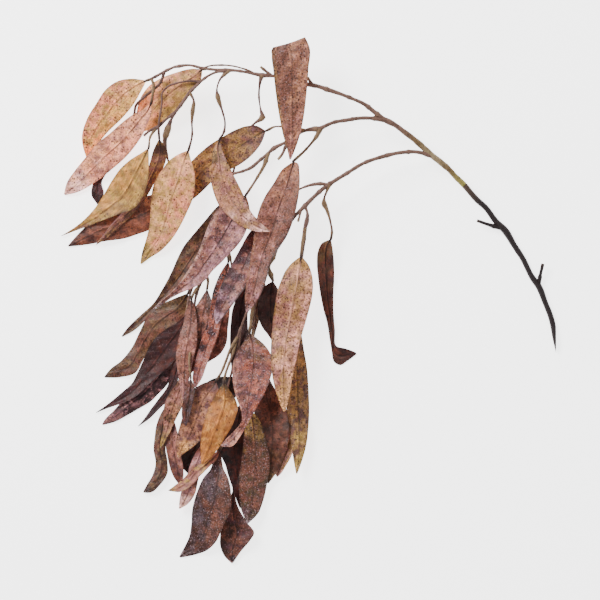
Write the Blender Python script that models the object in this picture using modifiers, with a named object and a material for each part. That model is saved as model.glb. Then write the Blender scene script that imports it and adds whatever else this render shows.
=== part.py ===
# A cut eucalyptus branch lying on a table: a bare dark stem, a tan upper stem with three
# arching arms, and the long leaves that hang from the arms on thin stalks, one over another.
#
# Plan places are mm on a 600 mm board, right of and down from its top left corner.
# Heights are mm above the table.

import random
from collections import namedtuple

import bmesh
import bpy
import numpy as np

MM = 0.001

# The board, and the place on it that is the part's origin
BOARD = 600
MIDDLE_RIGHT = 308.39
MIDDLE_DOWN = 302.355

# Leaves
BLADE_THICKNESS = 0.8
BLADE_STATIONS = 10
FOLDED_STATIONS = 22
# A blade starts and ends this share of its length inside its two points
END_TRIM = 0.012
# Rise of a blade's edge over its midrib, as a share of the half width
CUP = 0.16
CUP_RANGE = (0.6, 1.3)
# Height of the waves along an edge, how many there are, and how they run across
WAVE = 1.1
WAVES = 2.4
WAVES_RANGE = (0.8, 1.2)
WAVE_SLANT = 0.9
# Half width from which a blade has its full waves
FULL_WAVE_FROM = 8.0
# How far a stalk runs on into its blade, and how it thins there
RIB_IN_BLADE = 0.07
RIB_POINTS = 2
RIB_TAPER = (0.95, 0.7)
FOLDED_STALK_STEP = 5.0

# Twigs
TUBE_STEP = 11.0
SEAT_GAP = 0.3
COLLAR_GAP = 0.45
STALK_SIDES = 4
TWIG_SIDES = 6
STEM_SIDES = 8
LOWER_STEM_POINTS = 27
UPPER_STEM_POINTS = 16
WELD = 0.00001
SHARP_ANGLE = 0.6

# How pieces lie on one another: the pile is known in square cells of the board
CELL = 2.0
LAYER_GAP = 1.2
FLOOR_GAP = 0.1
SAMPLE_STEP = 2.0
SAMPLES_ACROSS = 21
ROUTE_STEP = 1.0
# Length over which a height is evened out, and the steepest fall and climb
EASE = 9.0
FALL = 0.36
CLIMB = 0.5
# A stalk leaves its carrier freely at first, then takes up the laid height
JOINT_FREE = 9.0
JOINT_BLEND = 14.0
STEEPEST_LEAN = 2.0
NARROWEST_STRIP = 0.05

# The cut end and the flat that the stem rests on
CUT_RIGHT = 557.0
CUT_BLOCK = 60.0
CUT_MIDDLE_DOWN = 350.0
CUT_LENGTH = 200.0
FLAT_MIDDLE = (500.0, 300.0)
FLAT_SIDE = 300.0

# The stem's route: right, down, height, diameter
STEM = [
    (563, 366, 2.4, 5.6), (557, 341, 2.4, 5.8), (552, 317.5, 2.4, 5.8), (546, 302, 2.4, 5.8),
    (539.5, 286, 2.4, 6.6), (533, 277, 2.5, 5.8), (524, 259, 2.7, 5.8), (515, 245, 3.1, 6.0),
    (505.6, 230, 3.9, 7.2), (497, 221.5, 4.7, 6.0), (486, 207, 6.3, 5.6), (477, 199, 7.7, 5.8),
    (472, 193.5, 8.8, 5.6), (464.8, 185, 10.6, 6.0), (456.5, 177, 12.2, 5.6), (449, 169, 13.8, 5.9),
    (440, 161.5, 15.8, 6.3), (431, 154.5, 17.9, 6.3), (423, 147, 19.5, 6.1), (413, 138.5, 21.5, 5.6),
    (403, 131, 23.5, 5.4), (394, 124.5, 25, 5.2), (388, 121.5, 26, 6.2), (380, 118, 27.5, 5.0),
]
COLLAR_AT = 13

# What grows from the lower stem and is cut short
STEM_STUBS = {
    "lower_stub": [(539.5, 286, 2.4, 4.4), (540.6, 278, 4.4, 3.8), (543.6, 263.7, 7.5, 3.6)],
    "upper_stub": [
        (503, 228, 4.3, 4.4), (496, 226.4, 5.4, 3.8), (488, 224, 6.8, 3.5), (477.6, 220.4, 8.5, 3.4),
    ],
}

# The arms and the side arms hidden under the leaves
ARMS = {
    "arm_a": [
        (384, 119.6, 26.8, 4.4), (374, 112, 29, 3.9), (365, 105, 31, 3.4), (352, 99, 33, 3.2),
        (339, 94, 35, 3.2), (327, 90, 36.5, 4.0), (318, 87, 37.5, 3.2), (310, 85.5, 38, 3.6),
        (292, 82, 39, 2.8), (275, 77, 40, 2.8), (262, 76, 40.5, 3.6), (251, 74, 40.5, 2.6),
        (237, 71.5, 40.5, 2.4), (228.5, 71, 40.5, 3.0), (215, 70.5, 40, 2.3), (203, 69, 39.5, 2.6),
        (190, 66, 38.5, 2.2), (175, 67.5, 37, 2.8),
    ],
    "arm_b": [
        (385, 120.5, 26.5, 4.2), (371, 118.4, 29, 3.4), (358.6, 118.6, 31, 3.2), (346, 120.6, 32.5, 3.2),
        (333, 123, 34, 3.0), (324, 127, 35, 3.4), (320, 129, 35, 4.0), (312.7, 129.5, 35, 3.8),
        (303.7, 131.4, 35, 2.9), (284, 143.5, 34.5, 2.6), (274, 148.6, 34, 3.4), (268, 153.7, 34, 2.6),
        (259, 161.4, 33, 2.6), (251.4, 167.8, 32, 3.0), (242.5, 171.6, 31, 2.3), (232, 175, 30, 2.3),
        (227, 188, 29, 2.2), (225, 205, 28, 2.2), (224, 222, 26.5, 2.2), (221, 240, 25, 2.2),
        (214, 258, 23, 2.4),
    ],
    "arm_c": [
        (434, 157, 17.6, 3.8), (424.6, 153.6, 20, 3.5), (417, 152, 21.5, 3.3), (402, 152.5, 24, 3.3),
        (380, 157.5, 26.5, 3.3), (365, 162.7, 28, 3.2), (346, 174, 30, 3.4), (333, 182, 31, 3.6),
        (325.4, 187, 31.5, 3.6), (314, 197, 32, 3.2), (304, 207, 32, 3.8), (295, 216, 32, 3.0),
        (287, 227, 31, 2.7), (280, 240, 30, 2.6), (275, 252, 29, 2.6), (268, 266, 28, 2.5),
        (261, 282, 27, 2.4), (256, 296, 26, 2.3), (253, 306, 25, 2.2),
    ],
    "side_arm_d": [
        (258, 290, 26.4, 2.2), (252, 301, 25.6, 2.0), (247, 312, 24, 1.9), (240, 330, 22, 1.8),
        (235.6, 343, 20.4, 2.1),
    ],
    "side_arm_e": [
        (262.5, 278, 27.2, 2.2), (258, 291, 22.5, 2.0), (254.5, 308, 19.5, 1.9), (253, 330, 16.5, 1.8),
        (252.5, 350, 14.5, 1.8), (251, 370, 12.5, 2.0),
    ],
    "upper_strand": [
        (256, 75, 40.5, 1.6), (249, 71.5, 41.5, 1.5), (242.5, 69.3, 42, 1.5), (233.6, 67, 42, 1.5),
        (222, 66, 41.5, 1.5), (209, 67, 40.5, 1.5), (203, 69, 39.5, 1.5),
    ],
    "arm_a_stub": [(313, 86, 38, 3.0), (310, 82, 39, 2.6), (307.6, 78, 40, 2.3)],
    "arm_a_second_stub": [(272, 76.6, 40, 2.8), (266, 72, 41, 2.4), (260.6, 67.6, 42, 2.0)],
    "arm_b_stub": [(287, 142, 34.5, 2.6), (282, 155, 35.5, 2.3), (278, 160, 36, 2.1)],
    "arm_c_stub": [(301, 210, 32, 2.4), (299.5, 216, 33, 1.9), (298, 222, 33.5, 1.7)],
    "arm_c_side_twig": [
        (329, 185, 31.3, 2.8), (322, 184, 32, 2.6), (315, 184.4, 32, 3.0), (305, 187, 31.5, 1.9),
        (296, 191, 30.5, 1.6),
    ],
}

# Twigs that carry several leaves, each with the arm that carries it
Twig = namedtuple("Twig", "spray carrier route")
TWIGS = {
    "end_twig": Twig("arm_end_spray", "arm_a", [
        (175, 67.5, 37, 2.0), (165, 72, 35.5, 2.0), (157, 76.5, 34, 1.9), (150, 80, 33, 1.8)]),
    "hanging_twig": Twig("hanging_spray", "arm_a", [
        (228.5, 71, 40.5, 2.2), (215, 73.5, 40, 2.0), (205, 79, 39, 2.0), (197, 86, 38, 2.2),
        (190, 93, 37, 2.4), (183, 103, 35.5, 2.0), (176, 112, 34, 2.2), (165, 121, 32, 1.9),
        (157, 128, 30.5, 2.3), (150, 131, 29.5, 1.8), (144, 136, 28.5, 1.8)]),
    "plum_twig": Twig("plum_spray", "arm_b", [
        (224, 224, 26.3, 1.8), (227, 235, 25.2, 1.8), (228, 247, 24, 1.8)]),
    "fan_twig": Twig("left_fan_spray", "arm_b", [
        (216, 253, 23.6, 1.9), (207, 262, 21.5, 1.8), (198, 274, 19.5, 1.8), (192, 288, 18, 1.8),
        (188, 303, 17, 1.8), (187, 318, 16, 1.8), (185, 332, 15, 1.7), (182, 346, 14, 1.6)]),
    "rose_twig": Twig("rose_spray", "arm_b", [
        (214, 258, 23, 1.9), (208, 270, 22, 1.9), (201, 283, 21, 1.8), (196, 296, 20, 1.8),
        (194, 312, 19, 1.8), (193, 330, 18, 1.8), (191, 348, 17, 1.7), (188, 364, 16, 1.7),
        (184, 376, 15, 1.6)]),
    "right_twig": Twig("front_right_spray", "arm_c", [
        (305, 206.5, 32, 2.2), (307.5, 214, 32, 1.7), (306.6, 222, 31.6, 3.4), (305, 228, 31, 2.6),
        (304, 233, 30.6, 2.2)]),
    "pink_twig": Twig("pink_spray", "side_arm_d", [
        (240, 330, 22, 1.8), (238.5, 348, 17, 1.8), (233.5, 365, 14, 1.7), (229, 382, 12, 1.7),
        (224, 402, 10, 1.7), (221, 425, 9, 1.6), (219, 440, 8, 1.5)]),
    "foot_twig": Twig("foot_spray", "side_arm_e", [
        (251, 370, 12.5, 1.7), (249, 390, 10.5, 1.7), (246, 410, 9, 1.6)]),
}

# A leaf: the route of its stalk (right, down, diameter) from its carrier to the blade's base,
# then the blade's two edges and its tip, and how much the blade is rolled.
Leaf = namedtuple("Leaf", "name carrier stalk left right tip tilt", defaults=(0.1,))

# The leaves that lie under the arms, from the lowest up
LOWER_LEAVES = [
    Leaf("salmon", "arm_a",
         [(206, 69, 1.8), (203, 70, 1.8)],
         [(190, 69.5), (175, 73), (159, 79), (149.5, 85), (142, 94), (136.5, 110)],
         [(201, 81), (191, 94), (183, 105), (173, 115), (163, 122), (151, 129)], (137, 132), 0.2),
    Leaf("kite", "foot_twig",
         [(246, 410, 1.4), (240, 432, 1.4), (234, 455, 1.6), (235, 475, 1.3), (233, 490, 1.3)],
         [(227, 506), (222, 520), (220, 535), (220, 547), (224, 557)],
         [(238, 508), (246, 522), (254, 534), (250, 541), (241, 552)], (232, 565), 0.25),
    Leaf("dark_foot", "foot_twig",
         [(249, 390, 1.4), (246, 396, 1.4), (242, 402, 1.3)],
         [(233, 413), (226, 428), (220, 443), (220.5, 455), (225, 465), (228, 476), (232, 488), (236, 500)],
         [(246, 413), (248, 428), (248, 446), (247.5, 462), (246, 480), (243, 497)], (240, 510), -0.1),
    Leaf("grey_sliver", "side_arm_e",
         [(252.5, 348, 1.4), (262, 367, 1.4), (274, 390, 1.3), (285, 410, 1.3), (292, 424, 1.3)],
         [(285, 438), (280, 452), (276, 464), (274.5, 472)],
         [(295, 440), (291, 457), (286, 466), (281, 474)], (277, 478), 0.7),
    Leaf("hollow", "pink_twig",
         [(222, 420, 1.3), (212, 428, 1.2), (202, 436, 1.2)],
         [(192, 443), (183, 452), (178.7, 459), (181, 467)],
         [(201, 450), (197, 460), (193, 468)], (187, 474), 0.3),
    Leaf("twisted", "rose_twig",
         [(184, 375, 1.4), (178, 388, 1.3), (171, 400, 1.3)],
         [(161, 413), (156, 425), (154, 438), (153, 450), (155, 464), (152, 476), (146, 486)],
         [(169, 415), (167, 432), (165, 448), (167, 462), (167, 474), (160, 485), (151, 493)],
         (142, 493.5), 0.3),
    Leaf("mauve_drop", "rose_twig",
         [(184, 375, 1.4), (180, 395, 1.3), (173, 418, 1.3)],
         [(167, 431), (165, 443), (167, 456), (169, 466), (173, 477)],
         [(177, 432), (179, 445), (181, 457), (183, 468), (183, 478)], (180, 487), 0.35),
    Leaf("under_left", "hanging_twig",
         [(176, 112, 1.4), (171, 121, 1.7), (168, 129, 4.2), (165, 139, 3.2), (167, 156, 1.5),
          (172, 175, 1.5), (174, 190, 1.5)],
         [(161, 192), (145, 196), (127, 202), (108, 210), (92, 220), (78, 233)],
         [(167, 211), (158, 223), (148, 230), (137, 234), (125, 238), (105, 241), (85, 244.5)],
         (66, 246.5)),
    Leaf("plum_peek", "end_twig",
         [(165, 72, 1.5), (160, 84, 1.6), (150, 92.5, 1.9), (142, 99, 1.6), (136, 105, 1.5),
          (134, 114, 1.4), (126, 132, 1.4), (114, 150, 1.4)],
         [(103, 162), (96, 172), (92, 183), (90.5, 194)],
         [(112, 165), (105, 174), (101, 182), (103, 193)], (97, 205)),
    Leaf("end_back", "end_twig",
         [(150, 80, 1.6), (147, 81, 1.8)],
         [(132, 79), (118, 81), (107, 88), (96, 103), (86, 119), (81, 137), (83, 150)],
         [(141, 92), (134, 104), (122, 118), (108, 131), (99, 141), (91, 150)], (86, 158.5)),
    Leaf("dark_left", "arm_a",
         [(262, 76, 1.9), (260, 84, 1.5), (259, 95, 1.4), (261, 111, 1.5), (262.5, 117, 3.4),
          (255, 123, 1.5), (249, 129, 1.4), (242, 144, 1.4), (236, 161, 1.4), (231, 180, 1.4),
          (228, 197, 1.5)],
         [(215, 208), (204, 221), (193, 234), (184, 245), (177, 258), (171, 272), (163, 287),
          (153, 303), (139, 316), (126, 329)],
         [(228, 214), (222, 231), (212, 249), (201, 265), (190, 278), (178, 289), (165, 300),
          (152, 311), (144, 321), (133, 331)], (119.5, 338)),
    Leaf("dark_red", "plum_twig",
         [(228, 247, 1.4), (231, 262, 1.3), (233, 277, 1.3), (232, 291, 1.3)],
         [(223, 302), (216, 316), (211, 330), (207, 344), (204, 355)],
         [(230, 305), (229, 318), (227.5, 330), (226.5, 342), (221, 353)], (207, 363), 0.45),
    Leaf("olive_back", "arm_c",
         [(270, 262, 1.3), (266, 268, 1.3), (262, 274, 1.3)],
         [(256, 286), (251.5, 299), (250.5, 314), (251, 327)],
         [(266, 288), (265, 301), (261, 314), (257, 327)], (254, 337), 0.3),
    Leaf("black_long", "arm_c",
         [(263, 277, 1.4), (255, 279, 1.3), (247, 283, 1.3)],
         [(239, 294), (233, 307), (230.5, 325), (230, 350), (231, 365), (233, 377)],
         [(248, 298), (247.5, 320), (248.5, 340), (248, 360), (245, 377)], (239, 389), 0.2),
    Leaf("black_back", "side_arm_e",
         [(253, 330, 1.3), (250, 350, 1.3), (244, 369, 1.3)],
         [(233, 376.5), (221, 377), (209, 381), (199, 391)],
         [(241, 385), (235, 398), (223, 408), (207, 413)], (191, 411), 0.2),
    Leaf("maroon", "arm_c",
         [(276, 249, 1.8), (272.5, 259, 2.6), (269, 267, 1.6), (271, 275, 3.0), (273, 281, 1.6)],
         [(264, 287), (260, 295), (258, 305), (258, 316), (262, 327), (268, 335)],
         [(279, 291), (282, 303), (283, 316), (281, 328), (277, 336)], (272.5, 342), 0.2),
    Leaf("khaki_long", "right_twig",
         [(305, 228, 1.5), (304, 245, 1.4), (301, 264, 1.4), (298, 283, 1.4), (297, 299, 1.4)],
         [(290, 314), (287, 334), (286, 356), (286, 380), (286, 402), (288, 424), (291, 443),
          (293.5, 460)],
         [(301, 314), (301.5, 334), (304, 350), (307, 368), (308.5, 388), (309.3, 408),
          (308.5, 428), (306, 447), (302, 461)], (296.5, 476), -0.15),
    Leaf("rust", "fan_twig",
         [(196, 280, 1.5), (191, 286, 1.5), (188, 293, 1.6)],
         [(175, 298), (160, 305), (148, 315), (140, 330), (131, 348), (120.5, 361), (110, 369)],
         [(188, 307), (184, 318), (172, 327), (160, 336), (149, 349), (142, 361), (135, 373),
          (120, 377.5)], (102.5, 378)),
    Leaf("lilac", "fan_twig",
         [(188, 322, 1.4), (184, 332, 1.4)],
         [(173, 339), (162, 353), (150, 370), (136, 387), (122, 401), (112, 412), (104, 420)],
         [(184, 349), (176, 362), (171, 378), (165, 387), (158, 394), (150, 402), (140, 408),
          (128, 415), (115, 422)], (100.5, 426), -0.1),
    Leaf("maroon_fan", "fan_twig",
         [(190, 306, 1.4), (186, 314, 1.5)],
         [(178, 322), (168, 328), (158, 335), (150, 345), (143, 360), (137, 373), (131, 384),
          (122, 392), (107, 404.5)],
         [(187, 329), (183, 345), (176, 358), (165, 370), (153, 380), (143, 390), (130, 400),
          (119, 404.5), (106, 409)], (93.5, 414), 0.15),
    Leaf("black_narrow", "fan_twig",
         [(187, 342, 1.3), (182, 350, 1.3)],
         [(175, 362), (170.5, 374), (167, 387), (159, 398), (150, 410), (143, 420)],
         [(181, 364), (178, 380), (172, 392), (166, 402), (158, 410), (149, 419)], (136.5, 427.5), 0.6),
    Leaf("pink_under", "pink_twig",
         [(221, 427, 1.3), (214, 434, 1.3), (206, 440, 1.3)],
         [(196, 452), (190, 465), (186, 478), (181, 492), (179, 502)],
         [(205, 455), (201, 468), (198, 481), (194, 496), (187, 505)], (178.5, 510), 0.3),
]

# The leaves that lie over the arms, from the lowest up
UPPER_LEAVES = [
    Leaf("narrow_dark", "hanging_twig",
         [(201, 82.5, 1.3), (191, 81.5, 1.3), (180, 83, 1.2), (168, 87, 1.2), (163, 92, 1.2),
          (162, 105, 1.2), (160, 118, 1.3), (159, 128, 1.6), (159.5, 139, 1.6)],
         [(154, 150), (150, 163), (145, 178), (137, 193), (126, 208), (113, 222), (102, 236)],
         [(165, 147), (166.5, 158), (163, 168), (155, 181), (147, 195), (136, 210), (121, 225),
          (106, 238)], (94.5, 245.5), -0.5),
    Leaf("olive_speckled", "arm_b",
         [(303.7, 131.4, 1.7), (292, 127.6, 1.3), (281, 126.6, 1.2), (274, 127, 1.2), (269, 129.5, 1.9),
          (266, 131, 1.4)],
         [(257, 126), (247, 126), (235, 130), (222, 137), (210, 144), (200, 152), (190, 162),
          (181, 175), (175, 190)],
         [(262, 142), (255, 152), (245, 161), (235, 167), (228, 170), (219, 176), (211, 182),
          (203, 190), (194, 198), (184, 204)], (171, 209)),
    Leaf("chestnut", "side_arm_e",
         [(251, 366, 1.5), (258, 369, 1.5), (263, 373, 1.5)],
         [(257, 386), (254, 401), (254.5, 420), (256, 440), (258, 458), (262, 473)],
         [(271, 383), (279, 399), (287, 415), (289, 433), (285, 453), (277, 472)], (268, 485)),
    Leaf("mottled", "rose_twig",
         [(206, 273, 1.6), (208, 281, 1.5), (207, 289, 1.5)],
         [(200, 300), (193, 312), (191.5, 325), (192, 338), (191, 350), (189, 362)],
         [(212, 302), (212, 316), (210, 331), (206, 344), (202, 357), (197, 366)], (191, 374), 0.2),
    Leaf("lilac_low", "plum_twig",
         [(227.5, 242, 1.6), (227.5, 251, 1.5), (228.5, 261, 1.5)],
         [(221, 272), (216, 283), (213, 292), (211, 305), (209, 318), (206, 328), (202, 338),
          (199, 348), (196, 358), (194, 368), (192.5, 379)],
         [(231, 275), (228, 290), (225, 304), (222, 318), (219, 331), (215, 343), (210, 356),
          (206, 367), (202, 378)], (195, 389), 0.2),
    Leaf("tan", "rose_twig",
         [(185, 366, 1.5), (181.5, 374, 1.5)],
         [(175, 386), (169, 394), (164.5, 404), (163, 416), (163, 428), (160.5, 440)],
         [(186, 387), (185, 400), (180, 411), (174, 423), (169, 434), (164, 443)], (159.5, 450), 0.2),
    Leaf("ochre_wide", "hanging_twig",
         [(157, 128, 1.5), (150.5, 137, 1.4), (149, 148, 1.4)],
         [(142, 153), (132, 159), (121, 168), (112, 180), (103, 195), (95, 207), (85, 218), (74, 227)],
         [(149, 168), (147, 185), (142, 198), (134, 208), (120, 213.5), (108, 218), (95, 223),
          (79, 229)], (58.5, 236.5), 0.12),
    Leaf("purple_wide", "pink_twig",
         [(220, 433, 1.7), (219.5, 445, 1.7)],
         [(214, 457), (210, 470), (204, 477), (199, 487), (195, 498), (192, 511), (191, 525),
          (189, 537), (184, 548)],
         [(221.5, 459), (223, 468), (228, 478), (230.5, 488), (231, 500), (230, 512), (225.5, 521),
          (221, 531), (216, 542), (207, 551), (194, 556)], (178, 559)),
    Leaf("mottled_foot", "foot_twig",
         [(247, 402, 1.5), (248, 406, 1.5), (250, 410, 1.5)],
         [(246, 422), (244, 434), (243, 447), (241.5, 460), (239, 477), (239, 492), (240.5, 508)],
         [(258, 418), (264, 433), (268, 450), (269.5, 467), (267, 484), (263.5, 500), (258, 514)],
         (247, 525), -0.1),
    Leaf("rust_orange", "side_arm_d",
         [(237.4, 337, 1.5), (231, 348, 1.6), (226, 361, 1.6), (221, 373, 1.5), (216, 381, 1.6)],
         [(207, 382), (198, 386), (191, 392), (187, 401), (184, 412), (180, 425), (177, 436),
          (175.5, 447)],
         [(219, 391), (217, 403), (212, 415), (208, 427), (202, 438), (194, 446), (186, 452)],
         (177.5, 459)),
    Leaf("pink_front", "pink_twig",
         [(219.2, 437, 1.5), (222, 444, 1.4), (220, 450, 1.4)],
         [(213, 454), (202, 463), (191, 470.5), (184, 478), (175, 485.5)],
         [(217, 459), (209, 467), (199, 477), (190.5, 486.5), (180, 492)], (167.5, 491), 0.3),
    Leaf("dark_plum", "arm_c",
         [(287, 227, 1.6), (277, 223, 1.5), (267, 220, 1.5), (258, 222, 1.5)],
         [(249, 233), (240, 249), (233, 262), (228, 272), (222, 284), (218, 295), (215.5, 305),
          (214, 315)],
         [(260, 238), (258, 255), (254, 270), (248, 284), (240, 295), (232, 306), (225, 315)],
         (216.5, 325), 0.1),
    Leaf("rose_brown", "rose_twig",
         [(200, 285, 1.5), (195, 291, 1.6), (191.5, 298, 1.6)],
         [(186, 310), (183, 325), (179.5, 336), (177, 347), (176, 358), (177.5, 370), (179.5, 382),
          (181, 393)],
         [(195, 307), (197, 321), (197.5, 335), (196.5, 346), (194, 357), (191, 369), (189, 381),
          (187.5, 393)], (184, 403), 0.2),
    Leaf("end_front", "end_twig",
         [(152, 79, 1.7), (154, 86, 1.7), (153, 95, 1.7), (151.5, 103, 1.7)],
         [(143, 109.5), (133, 115), (121, 124), (108, 135), (97, 143), (85, 157), (74, 170), (66, 182)],
         [(151.5, 113), (148.5, 122), (144.5, 132), (137, 144), (126, 157), (113, 168), (100, 178),
          (88, 186), (76, 192)], (62.5, 195)),
    Leaf("peach", "hanging_twig",
         [(190, 93, 1.6), (194, 101, 1.4), (193, 110, 3.2), (192, 121, 1.4), (192, 136, 1.4),
          (188.5, 150, 1.8)],
         [(179, 154), (170, 160), (162, 170), (155, 181), (151, 196), (150, 212), (149, 226),
          (145, 241), (141, 254)],
         [(191, 160), (194.5, 172), (195, 185), (193, 198), (187, 212), (180, 226), (170, 241),
          (160, 251), (149, 258)], (139.5, 265)),
    Leaf("slate_curl", "rose_twig",
         [(187, 342, 1.3), (189.5, 360, 1.3), (191, 378, 1.3)],
         [(186.5, 386), (184, 398), (182, 409), (182.5, 419)],
         [(195, 388), (194, 399), (191, 410), (189, 419)], (186, 426.5), 0.35),
    Leaf("golden", "side_arm_d",
         [(235.6, 343, 1.7), (233, 353, 1.6), (229, 364, 1.5), (225.5, 374, 1.6), (224, 382, 1.6)],
         [(219, 389), (214, 398), (209, 407), (205, 419), (202, 432), (200.5, 447)],
         [(231, 392), (236, 400), (238, 408), (236, 416), (232, 426), (226, 436), (220, 446),
          (212, 456)], (201.5, 465)),
    Leaf("mauve_rose", "arm_c",
         [(253, 306, 1.9), (251, 320, 1.8), (249.5, 333, 1.8)],
         [(243, 343), (236.5, 353), (233, 366), (233, 381), (236, 396), (241, 410), (242, 420),
          (235, 430), (227, 438)],
         [(258, 339), (266, 346.5), (271.5, 356), (272.5, 368), (269.5, 381), (263, 396),
          (255, 410), (247.5, 424), (240.5, 436), (232, 446)], (220, 446), 0.05),
    Leaf("front_rose", "arm_b",
         [(320, 129.5, 2.6), (317, 136, 2.4), (312.5, 142, 1.7), (304.5, 151, 1.6), (298, 157, 2.0),
          (293, 161.5, 1.8)],
         [(282, 170), (274, 183), (266, 195), (261, 205), (257.5, 216), (255, 232), (252, 250),
          (249, 268), (246, 287), (245, 302)],
         [(297.5, 163), (299.5, 173), (299.5, 188), (297, 205), (293, 221), (287, 236), (278, 250),
          (271, 262), (268, 274), (264, 287), (258, 300)], (246.5, 314)),
    Leaf("mauve_left", "arm_b",
         [(269, 153, 2.2), (264, 166, 2.4), (257, 178, 1.7), (250, 189, 1.6), (246, 195, 1.7)],
         [(232, 200), (219, 208.5), (212, 218), (207.5, 228), (203, 240), (199, 251), (192.5, 263),
          (185, 275), (177, 286), (168, 295), (160, 302)],
         [(249.5, 207), (249.5, 219), (247, 229), (243, 238), (235.5, 248), (228.5, 255),
          (221, 263), (213, 270.5), (205, 280.5), (195, 287), (183, 292), (172, 297.5), (163, 303.5)],
         (151.5, 310)),
    Leaf("front_pink", "right_twig",
         [(304, 233, 2.0), (302, 246, 1.7), (301, 256, 1.8)],
         [(292, 263), (285.5, 271), (281, 281), (277.5, 291), (275.5, 302), (273.5, 316),
          (272, 332), (271, 347), (271, 362), (273, 379), (277, 395), (281, 406)],
         [(308, 264), (311.5, 273), (313, 283), (312.5, 294), (310, 306), (306.5, 319), (303, 331),
          (299.5, 343), (297, 356), (294, 370), (291, 386), (288, 402)], (284.5, 413)),
    Leaf("far_right", "arm_c",
         [(329, 184.8, 1.9), (326.5, 192, 1.5), (324.3, 198, 1.5), (324, 203, 3.4), (327, 210, 2.2),
          (330.5, 222, 1.6), (332, 232, 1.5), (331, 239, 1.6)],
         [(322, 243), (318, 251), (317, 263), (318, 276), (320, 291), (323.5, 309), (327.5, 324),
          (330, 340), (332, 352), (334.5, 362.5), (340, 365.5), (348, 361)],
         [(332.6, 248), (334, 262), (334.4, 277), (333.6, 294), (333.6, 312), (335, 330),
          (337, 346.5), (345, 348.5), (351, 350.5)], (358, 353.5), 0.25),
    Leaf("middle_pink", "arm_a",
         [(229.5, 71, 1.8), (220, 80.5, 1.5), (217, 91, 1.4), (218, 97.5, 3.2), (222, 110, 1.4),
          (225, 123, 1.4), (223.5, 133, 1.6), (219.5, 139, 1.7)],
         [(213.5, 149), (212, 164), (211, 180), (214.5, 195), (220, 207), (228.5, 216), (238, 224),
          (248, 229.5), (258, 232)],
         [(221.5, 148), (226.5, 160), (232, 172), (237.5, 183), (242.5, 193), (247, 204),
          (252.5, 214), (260, 222)], (271, 232)),
]

# The leaf that folds over at the top: its edges carry their heights. It climbs from arm A,
# turns over and hangs down in front of both arms.
FOLDED_STALK = [(291, 82, 39, 1.9), (291, 75, 40, 2.2), (291, 68, 42.4, 1.2)]
FOLDED_LEFT = [
    (289, 76, 40), (280, 69, 41.5), (274, 60, 43), (271.6, 51.6, 46), (273.4, 48.6, 49), (272, 55, 51),
    (273.5, 72, 51), (276, 95, 49.6), (279, 115, 48), (283, 135, 46), (287.5, 151, 44), (289.5, 160, 42.6),
]
FOLDED_RIGHT = [
    (294, 76, 40), (303, 68, 41.5), (308, 57, 43), (308.6, 46, 46), (305, 38.6, 49), (309.6, 49, 51),
    (308.5, 70, 51), (306.5, 95, 49.6), (303.5, 119, 48), (299, 139, 46), (294, 153, 44), (291, 160, 42.6),
]

# Colours, as seen from a step away
BARK_ROUGHNESS = 0.8
LEAF_ROUGHNESS = 0.55
DARK_BARK = (0.045, 0.030, 0.027)
TAN_BARK = (0.30, 0.20, 0.13)
NODE_COLOURS = {
    "arm_end_spray": (0.40, 0.22, 0.16), "salmon_leaf": (0.42, 0.20, 0.12),
    "hanging_spray": (0.38, 0.22, 0.11), "middle_pink_leaf": (0.42, 0.25, 0.20),
    "dark_left_leaf": (0.08, 0.05, 0.04), "folded_leaf": (0.28, 0.13, 0.08),
    "olive_speckled_leaf": (0.22, 0.13, 0.08), "front_rose_leaf": (0.36, 0.17, 0.12),
    "mauve_left_leaf": (0.38, 0.20, 0.19), "left_fan_spray": (0.16, 0.07, 0.06),
    "rose_spray": (0.36, 0.19, 0.15), "plum_spray": (0.20, 0.10, 0.10),
    "far_right_leaf": (0.12, 0.06, 0.05), "front_right_spray": (0.44, 0.27, 0.20),
    "dark_plum_leaf": (0.14, 0.07, 0.09), "maroon_leaf": (0.07, 0.03, 0.03),
    "olive_back_leaf": (0.12, 0.08, 0.05), "black_long_leaf": (0.04, 0.02, 0.02),
    "black_back_leaf": (0.03, 0.02, 0.02), "mauve_rose_leaf": (0.36, 0.20, 0.20),
    "rust_orange_leaf": (0.44, 0.20, 0.08), "golden_leaf": (0.46, 0.27, 0.10),
    "chestnut_leaf": (0.20, 0.09, 0.06), "grey_sliver_leaf": (0.20, 0.17, 0.12),
    "foot_spray": (0.24, 0.15, 0.10), "pink_spray": (0.30, 0.16, 0.15),
}


# Points and curves

def place(right, down, height):
    """World metres of a place on the board."""
    return ((right - MIDDLE_RIGHT) * MM, (MIDDLE_DOWN - down) * MM, height * MM)


def distances(points):
    """How far along the board each point of a route lies."""
    steps = np.linalg.norm(np.diff(np.asarray(points, float)[:, :2], axis=0), axis=1)
    return np.concatenate([[0.0], np.cumsum(steps)])


def through(points, fractions):
    """Places on a smooth curve through the points, at fractions of its length."""
    knots = np.asarray(points, float)
    at = distances(knots)
    at = at / at[-1]
    slopes = np.gradient(knots, at, axis=0)
    first = np.clip(np.searchsorted(at, fractions, side="right") - 1, 0, len(at) - 2)
    span = (at[first + 1] - at[first])[:, None]
    t = (np.asarray(fractions) - at[first])[:, None] / span
    ends = knots[first] * (1 + 2 * t) * (1 - t) ** 2 + knots[first + 1] * t * t * (3 - 2 * t)
    return ends + span * t * (1 - t) * (slopes[first] * (1 - t) - slopes[first + 1] * t)


def resample(points, step):
    """Evenly spaced places on the smooth curve through a route."""
    count = max(2, int(round(distances(points)[-1] / step)) + 1)
    return through(points, np.linspace(0, 1, count))


# The pile: how high the laid pieces reach in each cell of the board

def new_pile():
    cells = int(BOARD / CELL) + 4
    return np.full((cells, cells), FLOOR_GAP - LAYER_GAP)


def cells_at(rights, downs):
    return (np.asarray(rights) / CELL).astype(int) + 1, (np.asarray(downs) / CELL).astype(int) + 1


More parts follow.
